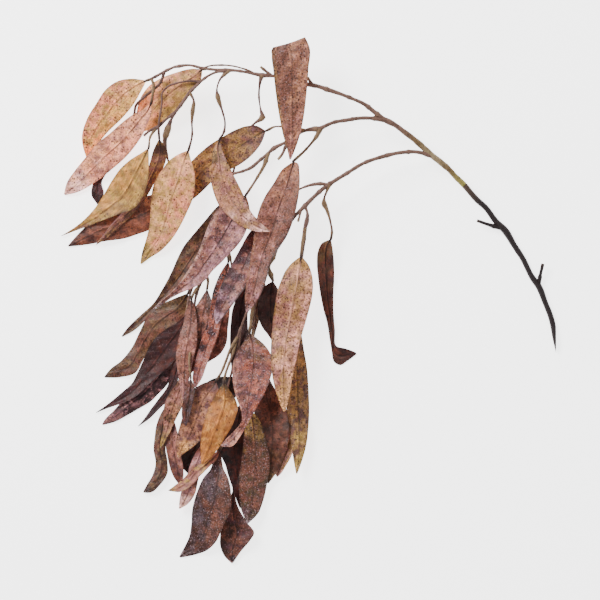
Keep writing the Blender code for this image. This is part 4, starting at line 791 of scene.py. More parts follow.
def lay_route(pile, route):
    fine = resample(route, SAMPLE_STEP)
    add_to_pile(pile, fine[:, 0], fine[:, 1], fine[:, 2] + fine[:, 3] / 2)


# Modelling helpers

def deselect_all():
    bpy.ops.object.select_all(action="DESELECT")


def pick(*things):
    """Selects only these objects and makes the first one active."""
    deselect_all()
    for thing in things:
        thing.select_set(True)
    bpy.context.view_layer.objects.active = things[0]


def join(name, things):
    """One object from several, at the origin."""
    pick(*things)
    bpy.ops.object.join()
    whole = bpy.context.object
    whole.name = name
    whole.data.name = name
    return whole


def apply_modifiers(thing):
    pick(thing)
    for modifier in list(thing.modifiers):
        bpy.ops.object.modifier_apply(modifier=modifier.name)


def world(right, down, height):
    """World metres of places on the board."""
    return np.column_stack([(right - MIDDLE_RIGHT) * MM, (MIDDLE_DOWN - down) * MM, height * MM])


def vertex_places(mesh):
    flat = np.empty(len(mesh.vertices) * 3)
    mesh.vertices.foreach_get("co", flat)
    return flat.reshape(-1, 3)


def off_table(heights, thickness):
    """Lifts what would dip into the table."""
    return np.maximum(heights, thickness / 2 + TABLE_GAP)


def linear(hex_tone):
    """Linear red, green and blue of an sRGB hex tone."""
    channels = [int(hex_tone[i:i + 2], 16) / 255 for i in (1, 3, 5)]
    return np.array([c / 12.92 if c <= 0.04045 else ((c + 0.055) / 1.055) ** 2.4 for c in channels])


def smooth_step(values, low, high):
    t = np.clip((values - low) / (high - low), 0, 1)
    return t * t * (3 - 2 * t)


def mix_tones(first, second, share):
    return first * (1 - share[:, None]) + second * share[:, None]


def store_tones(mesh, name, values):
    """Keeps a colour for each vertex, four numbers a row."""
    layer = mesh.attributes.new(name, "FLOAT_COLOR", "POINT")
    layer.data.foreach_set("color", np.ascontiguousarray(values, np.float32).ravel())


def store_skin(mesh, tone, stain):
    ones = np.ones((len(tone), 1))
    store_tones(mesh, "tone", np.hstack([tone, ones]))
    store_tones(mesh, "stain", np.hstack([stain, ones]))


def set_map(mesh, across_mm, along_mm, start):
    """The blade's own map, which starts a number of vein steps along for each leaf."""
    corner_vertices = np.empty(len(mesh.loops), np.int32)
    mesh.loops.foreach_get("vertex_index", corner_vertices)
    along_mm = along_mm + start * VEIN_STEP
    pairs = np.column_stack([0.5 + across_mm / MAP_SIZE, along_mm / MAP_SIZE])[corner_vertices]
    mesh.uv_layers[0].data.foreach_set("uv", pairs.astype(np.float32).ravel())


# Leaves

def groove_at(from_rib):
    """How deep the groove beside the midrib is."""
    return GROOVE_DEPTH * np.exp(-(from_rib / GROOVE_WIDTH) ** 2)


def crinkle_at(along, across, crinkles, phases):
    """The skin's crinkle, which slants both ways."""
    rows = np.sin(crinkles * along + phases[0] + CRINKLE_SLANT * across)
    return CRINKLE * rows * np.sin(CRINKLES_ACROSS * across + phases[1] + CRINKLE_TURN * along)


def fine_section(leaf, width, fractions, across):
    """The laid section with a rounder fold, a groove at the midrib, a rippled edge and a crinkle."""
    rounded = np.sqrt(across ** 2 + FOLD_ROUND ** 2) - FOLD_ROUND
    rounded = rounded / (np.sqrt(1 + FOLD_ROUND ** 2) - FOLD_ROUND) * np.sign(across)
    form = section(leaf.name, leaf.tilt, width, fractions, rounded)
    draw = random.Random(leaf.name + " fine")
    phases = [draw.uniform(0, FULL_TURN) for _ in range(3)]
    turns = FULL_TURN * RIPPLES * fractions + phases[0] + RIPPLE_SLANT * across
    ripple = RIPPLE * np.sin(turns) * across ** 4
    crinkle = crinkle_at(fractions, across, CRINKLES_ALONG, phases[1:])
    full = np.minimum(width / 2 / FULL_WAVE_FROM, 1)
    return form - groove_at(across * width / 2) + (ripple + crinkle) * full


def swirl(name, along_mm, across_mm, size):
    """A soft field from about -1 to 1, whose hills are about size mm wide."""
    draw = random.Random(name)
    total = np.zeros(len(along_mm))
    for _ in range(SWIRL_WAVES):
        angle = draw.uniform(0, FULL_TURN)
        turns = draw.uniform(*SWIRL_TURNS) * np.pi / size
        route = along_mm * np.cos(angle) + across_mm * np.sin(angle)
        total += np.sin(route * turns + draw.uniform(0, FULL_TURN))
    return total / SWIRL_HEIGHT


def paint_blade(mesh, look, along, across, length, half):
    """Tones for each vertex of a blade: two sides, a base, a tip and margins, with soft borders. The sides
    and margins are partly painted shade and painted highlight, darker on the side turned from the light.
    """
    tone = {part: linear(TONES[getattr(look, part)]) for part in ("left", "right", "base", "tip", "stain")}
    places = along * length, across * half
    side_wander = SIDE_WANDER * swirl(str(look) + "side", *places, SIDE_HILLS)
    # The two sides' tones are partly painted shade: the half turned from the light takes the darker tone.
    skin = mix_tones(tone["left"], tone["right"], smooth_step(across + side_wander, *SIDE_BORDER))
    ends = along + END_WANDER * swirl(str(look) + "ends", *places, END_HILLS)
    skin = mix_tones(skin, tone["base"], 1 - smooth_step(ends, *BASE_BORDER))
    skin = mix_tones(skin, tone["tip"], smooth_step(ends, *TIP_BORDER))
    hills = swirl(str(look) + "stain", *places, STAIN_HILLS)
    stained = smooth_step(hills, STAIN_FROM - STAIN_SPREAD * look.stains, STAIN_FULL)
    skin = mix_tones(skin, tone["stain"], STAIN_SHARE * stained)
    # Margins: a pale one is partly painted highlight on the lit edge, a dark one partly painted shade on
    # the shaded edge.
    for margin, sign in ((look.margin_left, -1), (look.margin_right, 1)):
        if margin:
            edge = smooth_step(across * sign, *MARGIN_BORDER) * smooth_step(along, *MARGIN_START)
            skin = mix_tones(skin, linear(TONES[margin]), MARGIN_SHARE * edge)
    count = len(along)
    store_skin(mesh, skin, np.tile(tone["stain"], (count, 1)))
    # The frost share is partly bloom and partly painted glints.
    frost = look.frost + TIP_FROST * smooth_step(along, *TIP_FROST_BORDER) * (look.frost > FROSTY_LEAF)
    shares = [np.full(count, look.stains), np.full(count, look.dots), frost, np.abs(across)]
    store_tones(mesh, "marks", np.column_stack(shares))
    set_map(mesh, across * half, along * length, random.Random(str(look)).randrange(LEAF_STARTS))


def make_blade(name, stations, length, edges, height, settings):
    """A fine blade: a grid bent between two edges, painted and given its thickness.

    edges gives the edges' places from along. height gives the surface's height from along,
    across, the half width and the place between the edges.
    """
    bpy.ops.mesh.primitive_grid_add(x_subdivisions=stations, y_subdivisions=settings.columns, size=2)
    sheet = bpy.context.object
    sheet.name = name
    mesh = sheet.data
    grid = vertex_places(mesh)
    along = (grid[:, 0] + 1) / 2
    across = grid[:, 1]
    left, right = edges(along)
    half = np.linalg.norm(right - left, axis=1) / 2
    spots = (left * (1 - across)[:, None] + right * (1 + across)[:, None]) / 2
    places = world(spots[:, 0], spots[:, 1], height(along, across, half, spots))
    mesh.vertices.foreach_set("co", places.astype(np.float32).ravel())
    mesh.update()
    paint_blade(mesh, LOOKS[name], along, across, length, half)
    mesh.materials.append(bpy.data.materials[LEAF_SKIN])
    skin = sheet.modifiers.new("Blade thickness", "SOLIDIFY")
    skin.thickness = settings.thickness * MM
    skin.offset = 0
    apply_modifiers(sheet)
    bpy.ops.object.shade_smooth_by_angle(angle=SMOOTH_ANGLE)
    return sheet


def laid_blade(leaf, fractions, heights, settings):
    """The fine blade of a laid leaf."""
    def trimmed(along):
        return END_TRIM + (1 - 2 * END_TRIM) * along

    def edges(along):
        return edge_points(leaf, trimmed(along))

    def height(along, across, half, _):
        spots = trimmed(along)
        rise = fine_section(leaf, 2 * half, spots, across)
        return off_table(np.interp(spots, fractions, heights) + rise, settings.thickness)

    middle = midline(leaf, np.linspace(0, 1, LENGTH_POINTS))
    length = distances([leaf.stalk[-1][:2], *middle[:, :2]])[-1]
    return make_blade(leaf.name, settings.stations, length, edges, height, settings)


def folded_blade(settings):
    """The fine blade of the leaf that folds over."""
    def edges(along):
        return through(FOLDED_LEFT, along), through(FOLDED_RIGHT, along)

    def height(along, across, half, spots):
        crinkle = crinkle_at(along, across, FOLDED_CRINKLES_ALONG, (0, 0))
        return spots[:, 2] + crinkle - groove_at(across * half)

    stations = int(settings.stations * FOLDED_STATIONS)
    return make_blade("folded", stations, distances(FOLDED_LEFT)[-1], edges, height, settings)


# Stalks, twigs and wood

def wandering(draw, count):
    """A wander in which each value is the sum of three neighbouring draws."""
    free = np.array([draw.uniform(-1, 1) for _ in range(count + 2)])
    return free[:-2] + free[1:-1] + free[2:]


def knobbly(route, name, stouter=1.0):
    """A route in short steps whose diameter wanders a little and swells at each knuckle."""
    fine = resample(route, BARK_STEP)
    draw = random.Random(name + " bark")
    wander = wandering(draw, len(fine)) / 3
    swelling = np.zeros(len(fine))
    along = distances(fine)
    knuckle = draw.uniform(*KNUCKLE_STEPS) / 2
    while knuckle < along[-1]:
        swelling += KNUCKLE * np.exp(-((along - knuckle) / KNUCKLE_LENGTH) ** 2)
        knuckle += draw.uniform(*KNUCKLE_STEPS)
    fine[:, 3] = fine[:, 3] * stouter * (1 + KNOBBLE * 2 * wander + swelling)
    return fine


def over_table(route):
    route[:, 2] = off_table(route[:, 2], route[:, 3])
    return route


def rod(name, route, sides, material_name):
    """A round rod along (right, down, height, diameter) places, made a mesh and closed."""
    bpy.ops.curve.primitive_nurbs_path_add()
    guide = bpy.context.object
    guide.name = name
    curve = guide.data
    curve.splines.clear()
    spline = curve.splines.new("POLY")
    spline.points.add(len(route) - 1)
    for point, place, diameter in zip(spline.points, world(*route[:, :3].T), route[:, 3]):
        point.co = (*place, 1)
        point.radius = diameter / 2 * MM
    curve.dimensions = "3D"
    curve.bevel_depth = 1.0
    curve.bevel_resolution = (sides - 4) // 2
    curve.use_fill_caps = True
    curve.resolution_u = 1
    bpy.ops.object.convert(target="MESH")
    thing = bpy.context.object
    thing.data.name = name
    weld(thing)
    if not thing.data.uv_layers:
        thing.data.uv_layers.new(name="UVMap")
    thing.data.materials.clear()
    thing.data.materials.append(bpy.data.materials[material_name])
    bpy.ops.object.shade_smooth_by_angle(angle=SMOOTH_ANGLE)
    return thing


def weld(thing):
    pick(thing)
    bpy.ops.object.mode_set(mode="EDIT")
    bpy.ops.mesh.select_all(action="SELECT")
    bpy.ops.mesh.remove_doubles(threshold=WELD_GAP * MM)
    bpy.ops.mesh.normals_make_consistent(inside=False)
    bpy.ops.object.mode_set(mode="OBJECT")


def nearest_share(thing, route):
    """For each vertex, how far along the route it lies from 0 to 1, and how swollen the rod is there."""
    spots = vertex_places(thing.data)
    line = world(*route[:, :3].T)
    nearest = np.argmin(((spots[:, None, :] - line[None, :, :]) ** 2).sum(axis=2), axis=1)
    return nearest / (len(route) - 1), route[nearest, 3] / np.median(route[:, 3])


def paint_rod(thing, route, tones, sleeve_tone=None):
    """Tones along a rod, and a paler tone where it swells into a sleeve or a knuckle."""
    share, swelling = nearest_share(thing, route)
    stops = np.linspace(0, 1, len(tones))
    colours = np.array([linear(tone) for tone in tones])
    skin = np.column_stack([np.interp(share, stops, channel) for channel in colours.T])
    if sleeve_tone:
        skin = mix_tones(skin, linear(sleeve_tone), smooth_step(swelling, *ROD_SLEEVE))
    store_skin(thing.data, skin, skin * ROD_STAIN)


def rib_tone(look):
    """A midrib's tone: the skin's, made darker by the leaf's share, or paler below 0."""
    skin = (linear(TONES[look.left]) + linear(TONES[look.right])) / 2
    if look.rib < 0:
        return skin * (1 + look.rib) - linear(TONES["straw"]) * look.rib
    return skin * (1 - RIB_DARKEST * look.rib)


def paint_stalk(thing, route, stalk_share, rib):
    """Brown on the stalk, darker at the blade's base, and a deeper skin tone along the midrib."""
    share, swelling = nearest_share(thing, route)
    skin = np.tile(linear(STALK_TONE), (len(share), 1))
    skin = mix_tones(skin, linear(SLEEVE_TONE), smooth_step(swelling, *STALK_SLEEVE))
    skin = mix_tones(skin, linear(STALK_DARK), smooth_step(share, stalk_share - BLADE_FOOT, stalk_share))
    skin = mix_tones(skin, rib, smooth_step(share, stalk_share, stalk_share + RIB_START))
    store_skin(thing.data, skin, skin * STALK_STAIN)


def stalk_of(leaf, stalk, fractions, heights):
    """A leaf's stalk, which runs on along the blade as its midrib and thins out."""
    fine = knobbly(stalk, leaf.name, STOUT_STALK)
    inside = np.linspace(fractions[0], RIB_END, RIB_POINTS)
    height = np.interp(inside, fractions, heights) - GROOVE_DEPTH * RIB_SINK
    thin = stalk[-1][3] * np.linspace(*RIB_TAPER, RIB_POINTS)
    rib = np.column_stack([midline(leaf, inside)[:, :2], height, thin])
    route = over_table(np.vstack([fine, rib[1:]]))
    thing = rod(leaf.name + "_stalk", route, THIN_SIDES, STALK_BARK)
    paint_stalk(thing, route, len(fine) / len(route), rib_tone(LOOKS[leaf.name]))
    return thing


def twig_piece(name, route):
    fine = over_table(knobbly(route, name, STOUT_TWIG))
    thing = rod(name, fine, THIN_SIDES, STALK_BARK)
    paint_rod(thing, fine, [ARM_END_TONE, STALK_TONE], SLEEVE_TONE)
    return thing


# Nodes

def carrier_route(name):
    return TWIGS[name].route if name in TWIGS else ARMS[name]


def node_of(leaf):
    """A leaf on a twig belongs to that twig's spray, and any other is a node of its own."""
    return TWIGS[leaf.carrier].spray if leaf.carrier in TWIGS else leaf.name + "_leaf"


def lay_everything():
    """Where each leaf comes to rest, from the lowest up."""
    pile = new_pile()
    rest = {}
    for leaf in LOWER_LEAVES:
        rest[leaf.name] = lay_leaf(pile, leaf, carrier_route(leaf.carrier))
    for name in [*ARMS, *TWIGS]:
        lay_route(pile, carrier_route(name))
    for leaf in UPPER_LEAVES:
        rest[leaf.name] = lay_leaf(pile, leaf, carrier_route(leaf.carrier))
    return rest


def finish_piece(thing, node):
    """The piece hides its node's solid and is attached to the root body."""
    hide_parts(node)
    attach(thing, "root")


# Materials

LEAF_SKIN = "Preserved eucalyptus leaf"
STALK_BARK = "Dried leaf stalk"
STEM_BARK = "Dark eucalyptus bark"
STUDIO_FLOOR = "White studio paper"

# Sizes in mm of the patterns on a leaf, a stalk, the dark bark and the paper
CLOUD_SIZE = 6
GRAIN_SIZE = 1.7
STREAK_WIDTH = 1.2
STREAK_LENGTH = 9
STAIN_SIZE = 8
HUE_SIZE = 3.6
GLAND_CELL = 2.4
GLAND_CLUSTER = 14
FLECK_SIZE = 1.5
STALK_STAIN_SIZE = 5
STALK_GRAIN_SIZE = 1.0
RIDGE_SIZE = 2.2
SCAR_SIZE = 6
FIBRE_SIZE = 0.8

# Side veins: how much they slant to the tip, and how many mm they wander
VEIN_SLANT = 0.8
VEIN_WANDER = 2.0

# The painted highlight and painted shade beside the midrib's crease: how far to the left or right of it, in
# mm
RIB_HIGHLIGHT_AT = -1.3
RIB_SHADE_AT = 0.7

# Where most values of a noise lie
USUAL = (0.3, 0.7)


def add(tree, kind, inputs=None, **settings):
    """Adds a node with its settings, its input values and its links."""
    node = tree.nodes.new(kind)
    for name, value in settings.items():
        setattr(node, name, value)
    for socket, value in (inputs or {}).items():
        if isinstance(value, bpy.types.NodeSocket):
            tree.links.new(value, node.inputs[socket])
        else:
            node.inputs[socket].default_value = value
    return node


def new_material(name):
    """A material's tree and shader, and the place on its piece."""
    finish = bpy.data.materials.new(name)
    finish.use_nodes = True
    tree = finish.node_tree
    place = add(tree, "ShaderNodeTexCoord").outputs["Object"]
    return tree, tree.nodes["Principled BSDF"], place


def painted(tree, name):
    """What was painted on the vertices under a name."""
    return add(tree, "ShaderNodeAttribute", attribute_name=name).outputs


def noise(tree, place, size, detail, roughness=0.55, distortion=0.0):
    """Noise with features of this size in mm."""
    settings = {"Vector": place, "Scale": 1 / (size * MM), "Detail": detail, "Roughness": roughness,
                "Distortion": distortion}
    return add(tree, "ShaderNodeTexNoise", settings).outputs["Fac"]


def spread(tree, value, low, high, bottom, top):
    """Turns a value's range from low to high softly into one from bottom to top."""
    limits = {"Value": value, "From Min": low, "From Max": high, "To Min": bottom, "To Max": top}
    return add(tree, "ShaderNodeMapRange", limits, interpolation_type="SMOOTHSTEP").outputs["Result"]


def calc(tree, operation, *values):
    return add(tree, "ShaderNodeMath", dict(enumerate(values)), operation=operation).outputs[0]


def away_from(tree, value, middle):
    """How far a value is from a middle, to either side."""
    return calc(tree, "ABSOLUTE", calc(tree, "SUBTRACT", value, middle))


def blend_tones(tree, share, under, over):
    inputs = {"Factor": share, 6: under, 7: over}
    return add(tree, "ShaderNodeMix", inputs, data_type="RGBA").outputs[2]


def scale_tone(tree, tone, amount):
    return add(tree, "ShaderNodeVectorMath", {0: tone, "Scale": amount}, operation="SCALE").outputs[0]


def shade(tree, share, tone, amount):
    """Turns a tone, where the share says so, to that many times itself."""
    return blend_tones(tree, share, tone, scale_tone(tree, tone, amount))


def opaque(hex_tone):
    return (*linear(hex_tone), 1)


def dress(tree, shader, colour, roughness, relief, gloss, strength, depth_mm):
    """Gives a shader its colour, roughness, relief and gloss."""
    tree.links.new(colour, shader.inputs["Base Color"])
    tree.links.new(roughness, shader.inputs["Roughness"])
    shader.inputs["Specular IOR Level"].default_value = gloss
    bump = add(tree, "ShaderNodeBump", {"Height": relief, "Strength": strength, "Distance": depth_mm * MM})
    tree.links.new(bump.outputs["Normal"], shader.inputs["Normal"])


def leaf_skin():
    """A preserved leaf: a waxy, mottled skin with dark oil glands, fine veins and frosty flecks. The flecks
    are partly painted glints. Painted shade darkens the rim, a line beside the midrib and fine folds along
    the streaks, and a painted highlight lies on the midrib's other side.
    """
    tree, shader, place = new_material(LEAF_SKIN)
    marks = painted(tree, "marks")
    shares = add(tree, "ShaderNodeSeparateColor", {"Color": marks["Color"]}).outputs

    # The blade's own map, in mm across from the midrib and along it
    flat_map = add(tree, "ShaderNodeUVMap", uv_map="UVMap").outputs["UV"]
    parts = add(tree, "ShaderNodeSeparateXYZ", {"Vector": flat_map}).outputs
    across = calc(tree, "MULTIPLY", calc(tree, "SUBTRACT", parts["X"], 0.5), MAP_SIZE)
    along = calc(tree, "MULTIPLY", parts["Y"], MAP_SIZE)

    # Clouds, a grain, and streaks that run beside the midrib
    clouds = noise(tree, place, CLOUD_SIZE, detail=3)
    grain = noise(tree, place, GRAIN_SIZE, detail=4, roughness=0.75)
    stretched = add(tree, "ShaderNodeCombineXYZ", {
        "X": calc(tree, "MULTIPLY", across, 1 / STREAK_WIDTH),
        "Y": calc(tree, "MULTIPLY", along, 1 / STREAK_LENGTH)}).outputs["Vector"]
    streaks_and_fold_shade = add(tree, "ShaderNodeTexNoise", {
        "Vector": stretched, "Scale": 1.0, "Detail": 3.0, "Roughness": 0.65}).outputs["Fac"]

    # Stains, whose borders break up into the grain and the streaks
    raised = noise(tree, place, STAIN_SIZE, detail=3, roughness=0.6, distortion=0.4)
    for cause, share in ((shares["Red"], 0.26), (grain, 0.30), (streaks_and_fold_shade, 0.20)):
        raised = calc(tree, "MULTIPLY_ADD", cause, share, raised)
    stained = spread(tree, raised, 0.78, 0.98, 0.0, 0.85)
    colour = blend_tones(tree, stained, painted(tree, "tone")["Color"], painted(tree, "stain")["Color"])

    # The skin turns warmer and cooler from place to place, and darker and lighter; along the streaks the
    # darker and lighter is partly painted shade of fine folds. A leaf with few dots has an even skin.
    mottle = spread(tree, shares["Green"], 0.1, 0.6, 0.30, 1.0)
    drift = noise(tree, place, HUE_SIZE, detail=3, roughness=0.6)
    hue = calc(tree, "MULTIPLY_ADD", grain, 0.7, drift)
    turned = blend_tones(tree, spread(tree, hue, 0.66, 1.06, 0.0, 1.0), WARM, COOL)
    colour = add(tree, "ShaderNodeVectorMath", {0: colour, 1: turned}, operation="MULTIPLY").outputs[0]
    colour = scale_tone(tree, colour, spread(tree, clouds, *USUAL, 0.70, 1.26))
    # Painted shade of fine folds: the skin is darker and lighter along the streaks.
    colour = scale_tone(tree, colour, spread(tree, streaks_and_fold_shade, *USUAL, 0.74, 1.30))
    grained = scale_tone(tree, colour, spread(tree, grain, 0.34, 0.66, 0.50, 1.52))
    colour = blend_tones(tree, mottle, colour, grained)

    # Side veins, slanting to the tip
    slanted = calc(tree, "MULTIPLY_ADD", calc(tree, "ABSOLUTE", across), -VEIN_SLANT, along)
    slanted = calc(tree, "MULTIPLY_ADD", clouds, VEIN_WANDER, slanted)
    turns = calc(tree, "FRACT", calc(tree, "MULTIPLY", slanted, 1 / VEIN_STEP))
    veins = spread(tree, away_from(tree, turns, 0.5), 0.02, 0.10, 0.22, 0.0)
    colour = shade(tree, veins, colour, 0.45)

    # A painted highlight on one side of the midrib, and painted shade in the crease on the other
    painted_rib_highlight = spread(tree, away_from(tree, across, RIB_HIGHLIGHT_AT), 0.2, 0.8, 0.42, 0.0)
    colour = shade(tree, painted_rib_highlight, colour, 1.9)
    painted_rib_shade = spread(tree, away_from(tree, across, RIB_SHADE_AT), 0.3, 0.9, 0.65, 0.0)
    colour = shade(tree, painted_rib_shade, colour, 0.4)

    # Oil glands: dark dots in clusters
    cells = add(tree, "ShaderNodeTexVoronoi", {"Vector": place, "Scale": 1 / (GLAND_CELL * MM)}).outputs
    drawn = add(tree, "ShaderNodeSeparateColor", {"Color": cells["Color"]}).outputs
    size = calc(tree, "MULTIPLY_ADD", drawn["Green"], 0.20, 0.22)
    inside = calc(tree, "LESS_THAN", cells["Distance"], size)
    clusters = spread(tree, noise(tree, place, GLAND_CLUSTER, detail=2), 0.35, 0.65, 0.45, 1.0)
    chosen = calc(tree, "LESS_THAN", drawn["Red"], calc(tree, "MULTIPLY", shares["Green"], clusters))
    dots = calc(tree, "MULTIPLY", inside, chosen)
    colour = blend_tones(tree, calc(tree, "MULTIPLY", dots, 0.8), colour, opaque(GLAND_TONE))

    # Frosty flecks, partly bloom and partly painted glints, and painted shade along the blade's rim, where
    # its edge curls
    flecks = noise(tree, place, FLECK_SIZE, detail=3, roughness=0.8)
    frost_from = calc(tree, "MULTIPLY_ADD", shares["Blue"], -0.28, 0.70)
    frost_and_glint_mask = calc(tree, "MULTIPLY", calc(tree, "SUBTRACT", flecks, frost_from), 7.0)
    frost_and_glint_mask = add(tree, "ShaderNodeClamp", {"Value": frost_and_glint_mask, "Max": 0.5}).outputs[0]
    # The frosty flecks are partly bloom and partly painted glints.
    colour = blend_tones(tree, frost_and_glint_mask, colour, opaque(FROST_AND_GLINT_TONE))
    # Painted shade: the rim of the blade is darkened as if its edge curled away from the light.
    colour = shade(tree, spread(tree, marks["Alpha"], 0.84, 1.0, 0.0, 0.6), colour, 0.45)

    # The grain and the streaks stand up, and the veins and the glands lie in
    relief = calc(tree, "MULTIPLY", grain, 0.9)
    for cause, share in ((veins, -1.2), (streaks_and_fold_shade, 0.8), (dots, -0.35)):
        relief = calc(tree, "MULTIPLY_ADD", cause, share, relief)
    rough = spread(tree, clouds, *USUAL, 0.38, 0.60)
    dress(tree, shader, colour, rough, relief, gloss=0.32, strength=0.9, depth_mm=0.5)


def stalk_bark():
    """Dried stalk and twig bark: matt, with a fine grain and darker stains."""
    tree, shader, place = new_material(STALK_BARK)
    stains = noise(tree, place, STALK_STAIN_SIZE, detail=4, roughness=0.6)
    stained = spread(tree, stains, 0.48, 0.62, 0.0, 0.7)
    colour = blend_tones(tree, stained, painted(tree, "tone")["Color"], painted(tree, "stain")["Color"])
    grain = noise(tree, place, STALK_GRAIN_SIZE, detail=3, roughness=0.7)
    colour = scale_tone(tree, colour, spread(tree, grain, *USUAL, 0.70, 1.35))
    rough = spread(tree, stains, *USUAL, 0.60, 0.80)
    dress(tree, shader, colour, rough, grain, gloss=0.3, strength=0.8, depth_mm=0.3)


def stem_bark():
    """Dark bark of the cut stem: nearly black brown, finely cracked, with a few pale scars."""
    tree, shader, place = new_material(STEM_BARK)
    ridges = noise(tree, place, RIDGE_SIZE, detail=5, roughness=0.65, distortion=0.8)
    worn = spread(tree, ridges, 0.52, 0.72, 0.0, 0.75)
    colour = blend_tones(tree, worn, painted(tree, "tone")["Color"], opaque(DARK_BARK_HIGH))
    scarred = noise(tree, place, SCAR_SIZE, detail=5, roughness=0.8)
    scars = spread(tree, scarred, 0.66, 0.74, 0.0, 0.5)
    colour = blend_tones(tree, scars, colour, opaque(BARK_SCAR_TONE))
    rough = spread(tree, ridges, *USUAL, 0.55, 0.78)
    dress(tree, shader, colour, rough, ridges, gloss=0.35, strength=0.9, depth_mm=0.6)


def studio_floor(glow):
    """White background paper, lit evenly."""
    tree, shader, place = new_material(STUDIO_FLOOR)
    fibre = spread(tree, noise(tree, place, FIBRE_SIZE, detail=2), *USUAL, 0.97, 1.0)
    white = add(tree, "ShaderNodeCombineColor", {"Red": fibre, "Green": fibre, "Blue": fibre})
    tree.links.new(white.outputs["Color"], shader.inputs["Base Color"])
    shader.inputs["Roughness"].default_value = 0.9
    shader.inputs["Specular IOR Level"].default_value = 0.1
    shader.inputs["Emission Color"].default_value = (1, 1, 1, 1)
    shader.inputs["Emission Strength"].default_value = glow


# The wood pieces

def stem_parts():
    """The stem's route, split at the collar."""
    fine = resample(STEM, ROUTE_STEP)
    collar = STEM[COLLAR_AT]
    split = int(np.argmin(np.hypot(fine[:, 0] - collar[0], fine[:, 1] - collar[1])))
    along = distances(fine)
    at_collar = along[split] / along[-1]
    lower = through(STEM, np.linspace(0, at_collar, LOWER_POINTS))
    upper = through(STEM, np.linspace(at_collar + COLLAR_GAP / along[-1], 1, UPPER_POINTS))
    return lower, upper


def wander_diameter(route, name, amount):
    draw = random.Random(name + " stem")
    route[:, 3] = route[:, 3] * (1 + amount * wandering(draw, len(route)) / 2)


def trim_by_plane(thing, point, normal):
    """Cuts off what lies beyond a plane and closes the cut."""
    pick(thing)
    bpy.ops.object.mode_set(mode="EDIT")
    bpy.ops.mesh.select_all(action="SELECT")
    bpy.ops.mesh.bisect(plane_co=point, plane_no=normal, use_fill=True, clear_outer=True)
    bpy.ops.object.mode_set(mode="OBJECT")


def rough_bark(thing, depth, size):
    """Raises the bark's knots and cracks out of the round of the wood."""
    texture = bpy.data.textures.new(thing.name + " relief", "CLOUDS")
    texture.noise_scale = size * MM
    lift = thing.modifiers.new("Bark relief", "DISPLACE")
    lift.texture = texture
    lift.texture_coords = "GLOBAL"
    lift.strength = depth * MM
    lift.mid_level = RELIEF_LEVEL
    apply_modifiers(thing)


# Settings

class LeafSettings(bpy.types.PropertyGroup):
    stations: IntProperty(name="Stations", description="Cross sections along each blade",
                          default=72, min=12, max=200)
    columns: IntProperty(name="Columns", description="Points across each blade",
                         default=17, min=5, max=41)
    thickness: FloatProperty(name="Thickness", description="Thickness of a blade in mm",
                             default=0.38, min=0.2, max=0.8)


class WoodSettings(bpy.types.PropertyGroup):
    sides: IntProperty(name="Sides", description="Sides of the stem", default=14, min=6, max=32)
    relief: FloatProperty(name="Relief", description="Height of the bark's relief in mm",
                          default=0.45, min=0.0, max=1.0)


class StageSettings(bpy.types.PropertyGroup):
    floor_size: FloatProperty(name="Floor size", description="Side of the floor", default=8.0,
                              unit="LENGTH")
    floor_glow: FloatProperty(name="Floor glow", description="Light that the paper gives back",
                              default=3.0, min=0.0, max=6.0)
    camera_height: FloatProperty(name="Camera height", description="Camera above the floor",
                                 default=5.0, unit="LENGTH")
    key_power: FloatProperty(name="Key light", description="Power of the key light in watts",
                             default=72.0)
    fill_power: FloatProperty(name="Fill light", description="Power of the fill light in watts",
                              default=10.0)
    sky: FloatVectorProperty(name="Sky", description="Colour of the even light", subtype="COLOR",
                             size=3, default=(1.0, 1.0, 1.0))
    sky_strength: FloatProperty(name="Sky strength", description="Strength of the even light",
                                default=0.44)


# Operators

class BRANCH_OT_materials(bpy.types.Operator):
    """Make the leaf skin, stalk bark, stem bark and floor paper"""
    bl_idname = "branch.materials"
    bl_label = "Branch materials"

    def execute(self, context):
        leaf_skin()
        stalk_bark()
        stem_bark()
        studio_floor(context.scene.branch_stage.floor_glow)
        return {"FINISHED"}


class BRANCH_OT_lower_stem(bpy.types.Operator):
    """Make the bare dark stem with its cut end, its stubs and the flat it rests on"""
    bl_idname = "branch.lower_stem"
    bl_label = "Lower stem"

    def execute(self, context):
        settings = context.scene.branch_wood
        route, _ = stem_parts()
        wander_diameter(route, "lower", LOWER_KNOBBLE)
        stem = rod("stem_rod", route, settings.sides, STEM_BARK)
        rough_bark(stem, settings.relief * LOWER_RELIEF, LOWER_KNOTS)
        paint_rod(stem, route, [DARK_BARK_TONE] * 9 + [COLLAR_FOOT_TONE])
        parts = [stem]
        for name, stub in STEM_STUBS.items():
            fine = knobbly(stub, name)
            piece = rod(name, fine, ARM_SIDES, STEM_BARK)
            paint_rod(piece, fine, [DARK_BARK_TONE] * 6 + [STUB_END_TONE])
            parts.append(piece)
        whole = join("lower_stem_bark", parts)
        trim_by_plane(whole, ((CUT_RIGHT - MIDDLE_RIGHT) * MM, 0, 0), (1, 0, 0))
        trim_by_plane(whole, (0, 0, 0), (0, 0, -1))
        finish_piece(whole, "lower_stem")
        return {"FINISHED"}


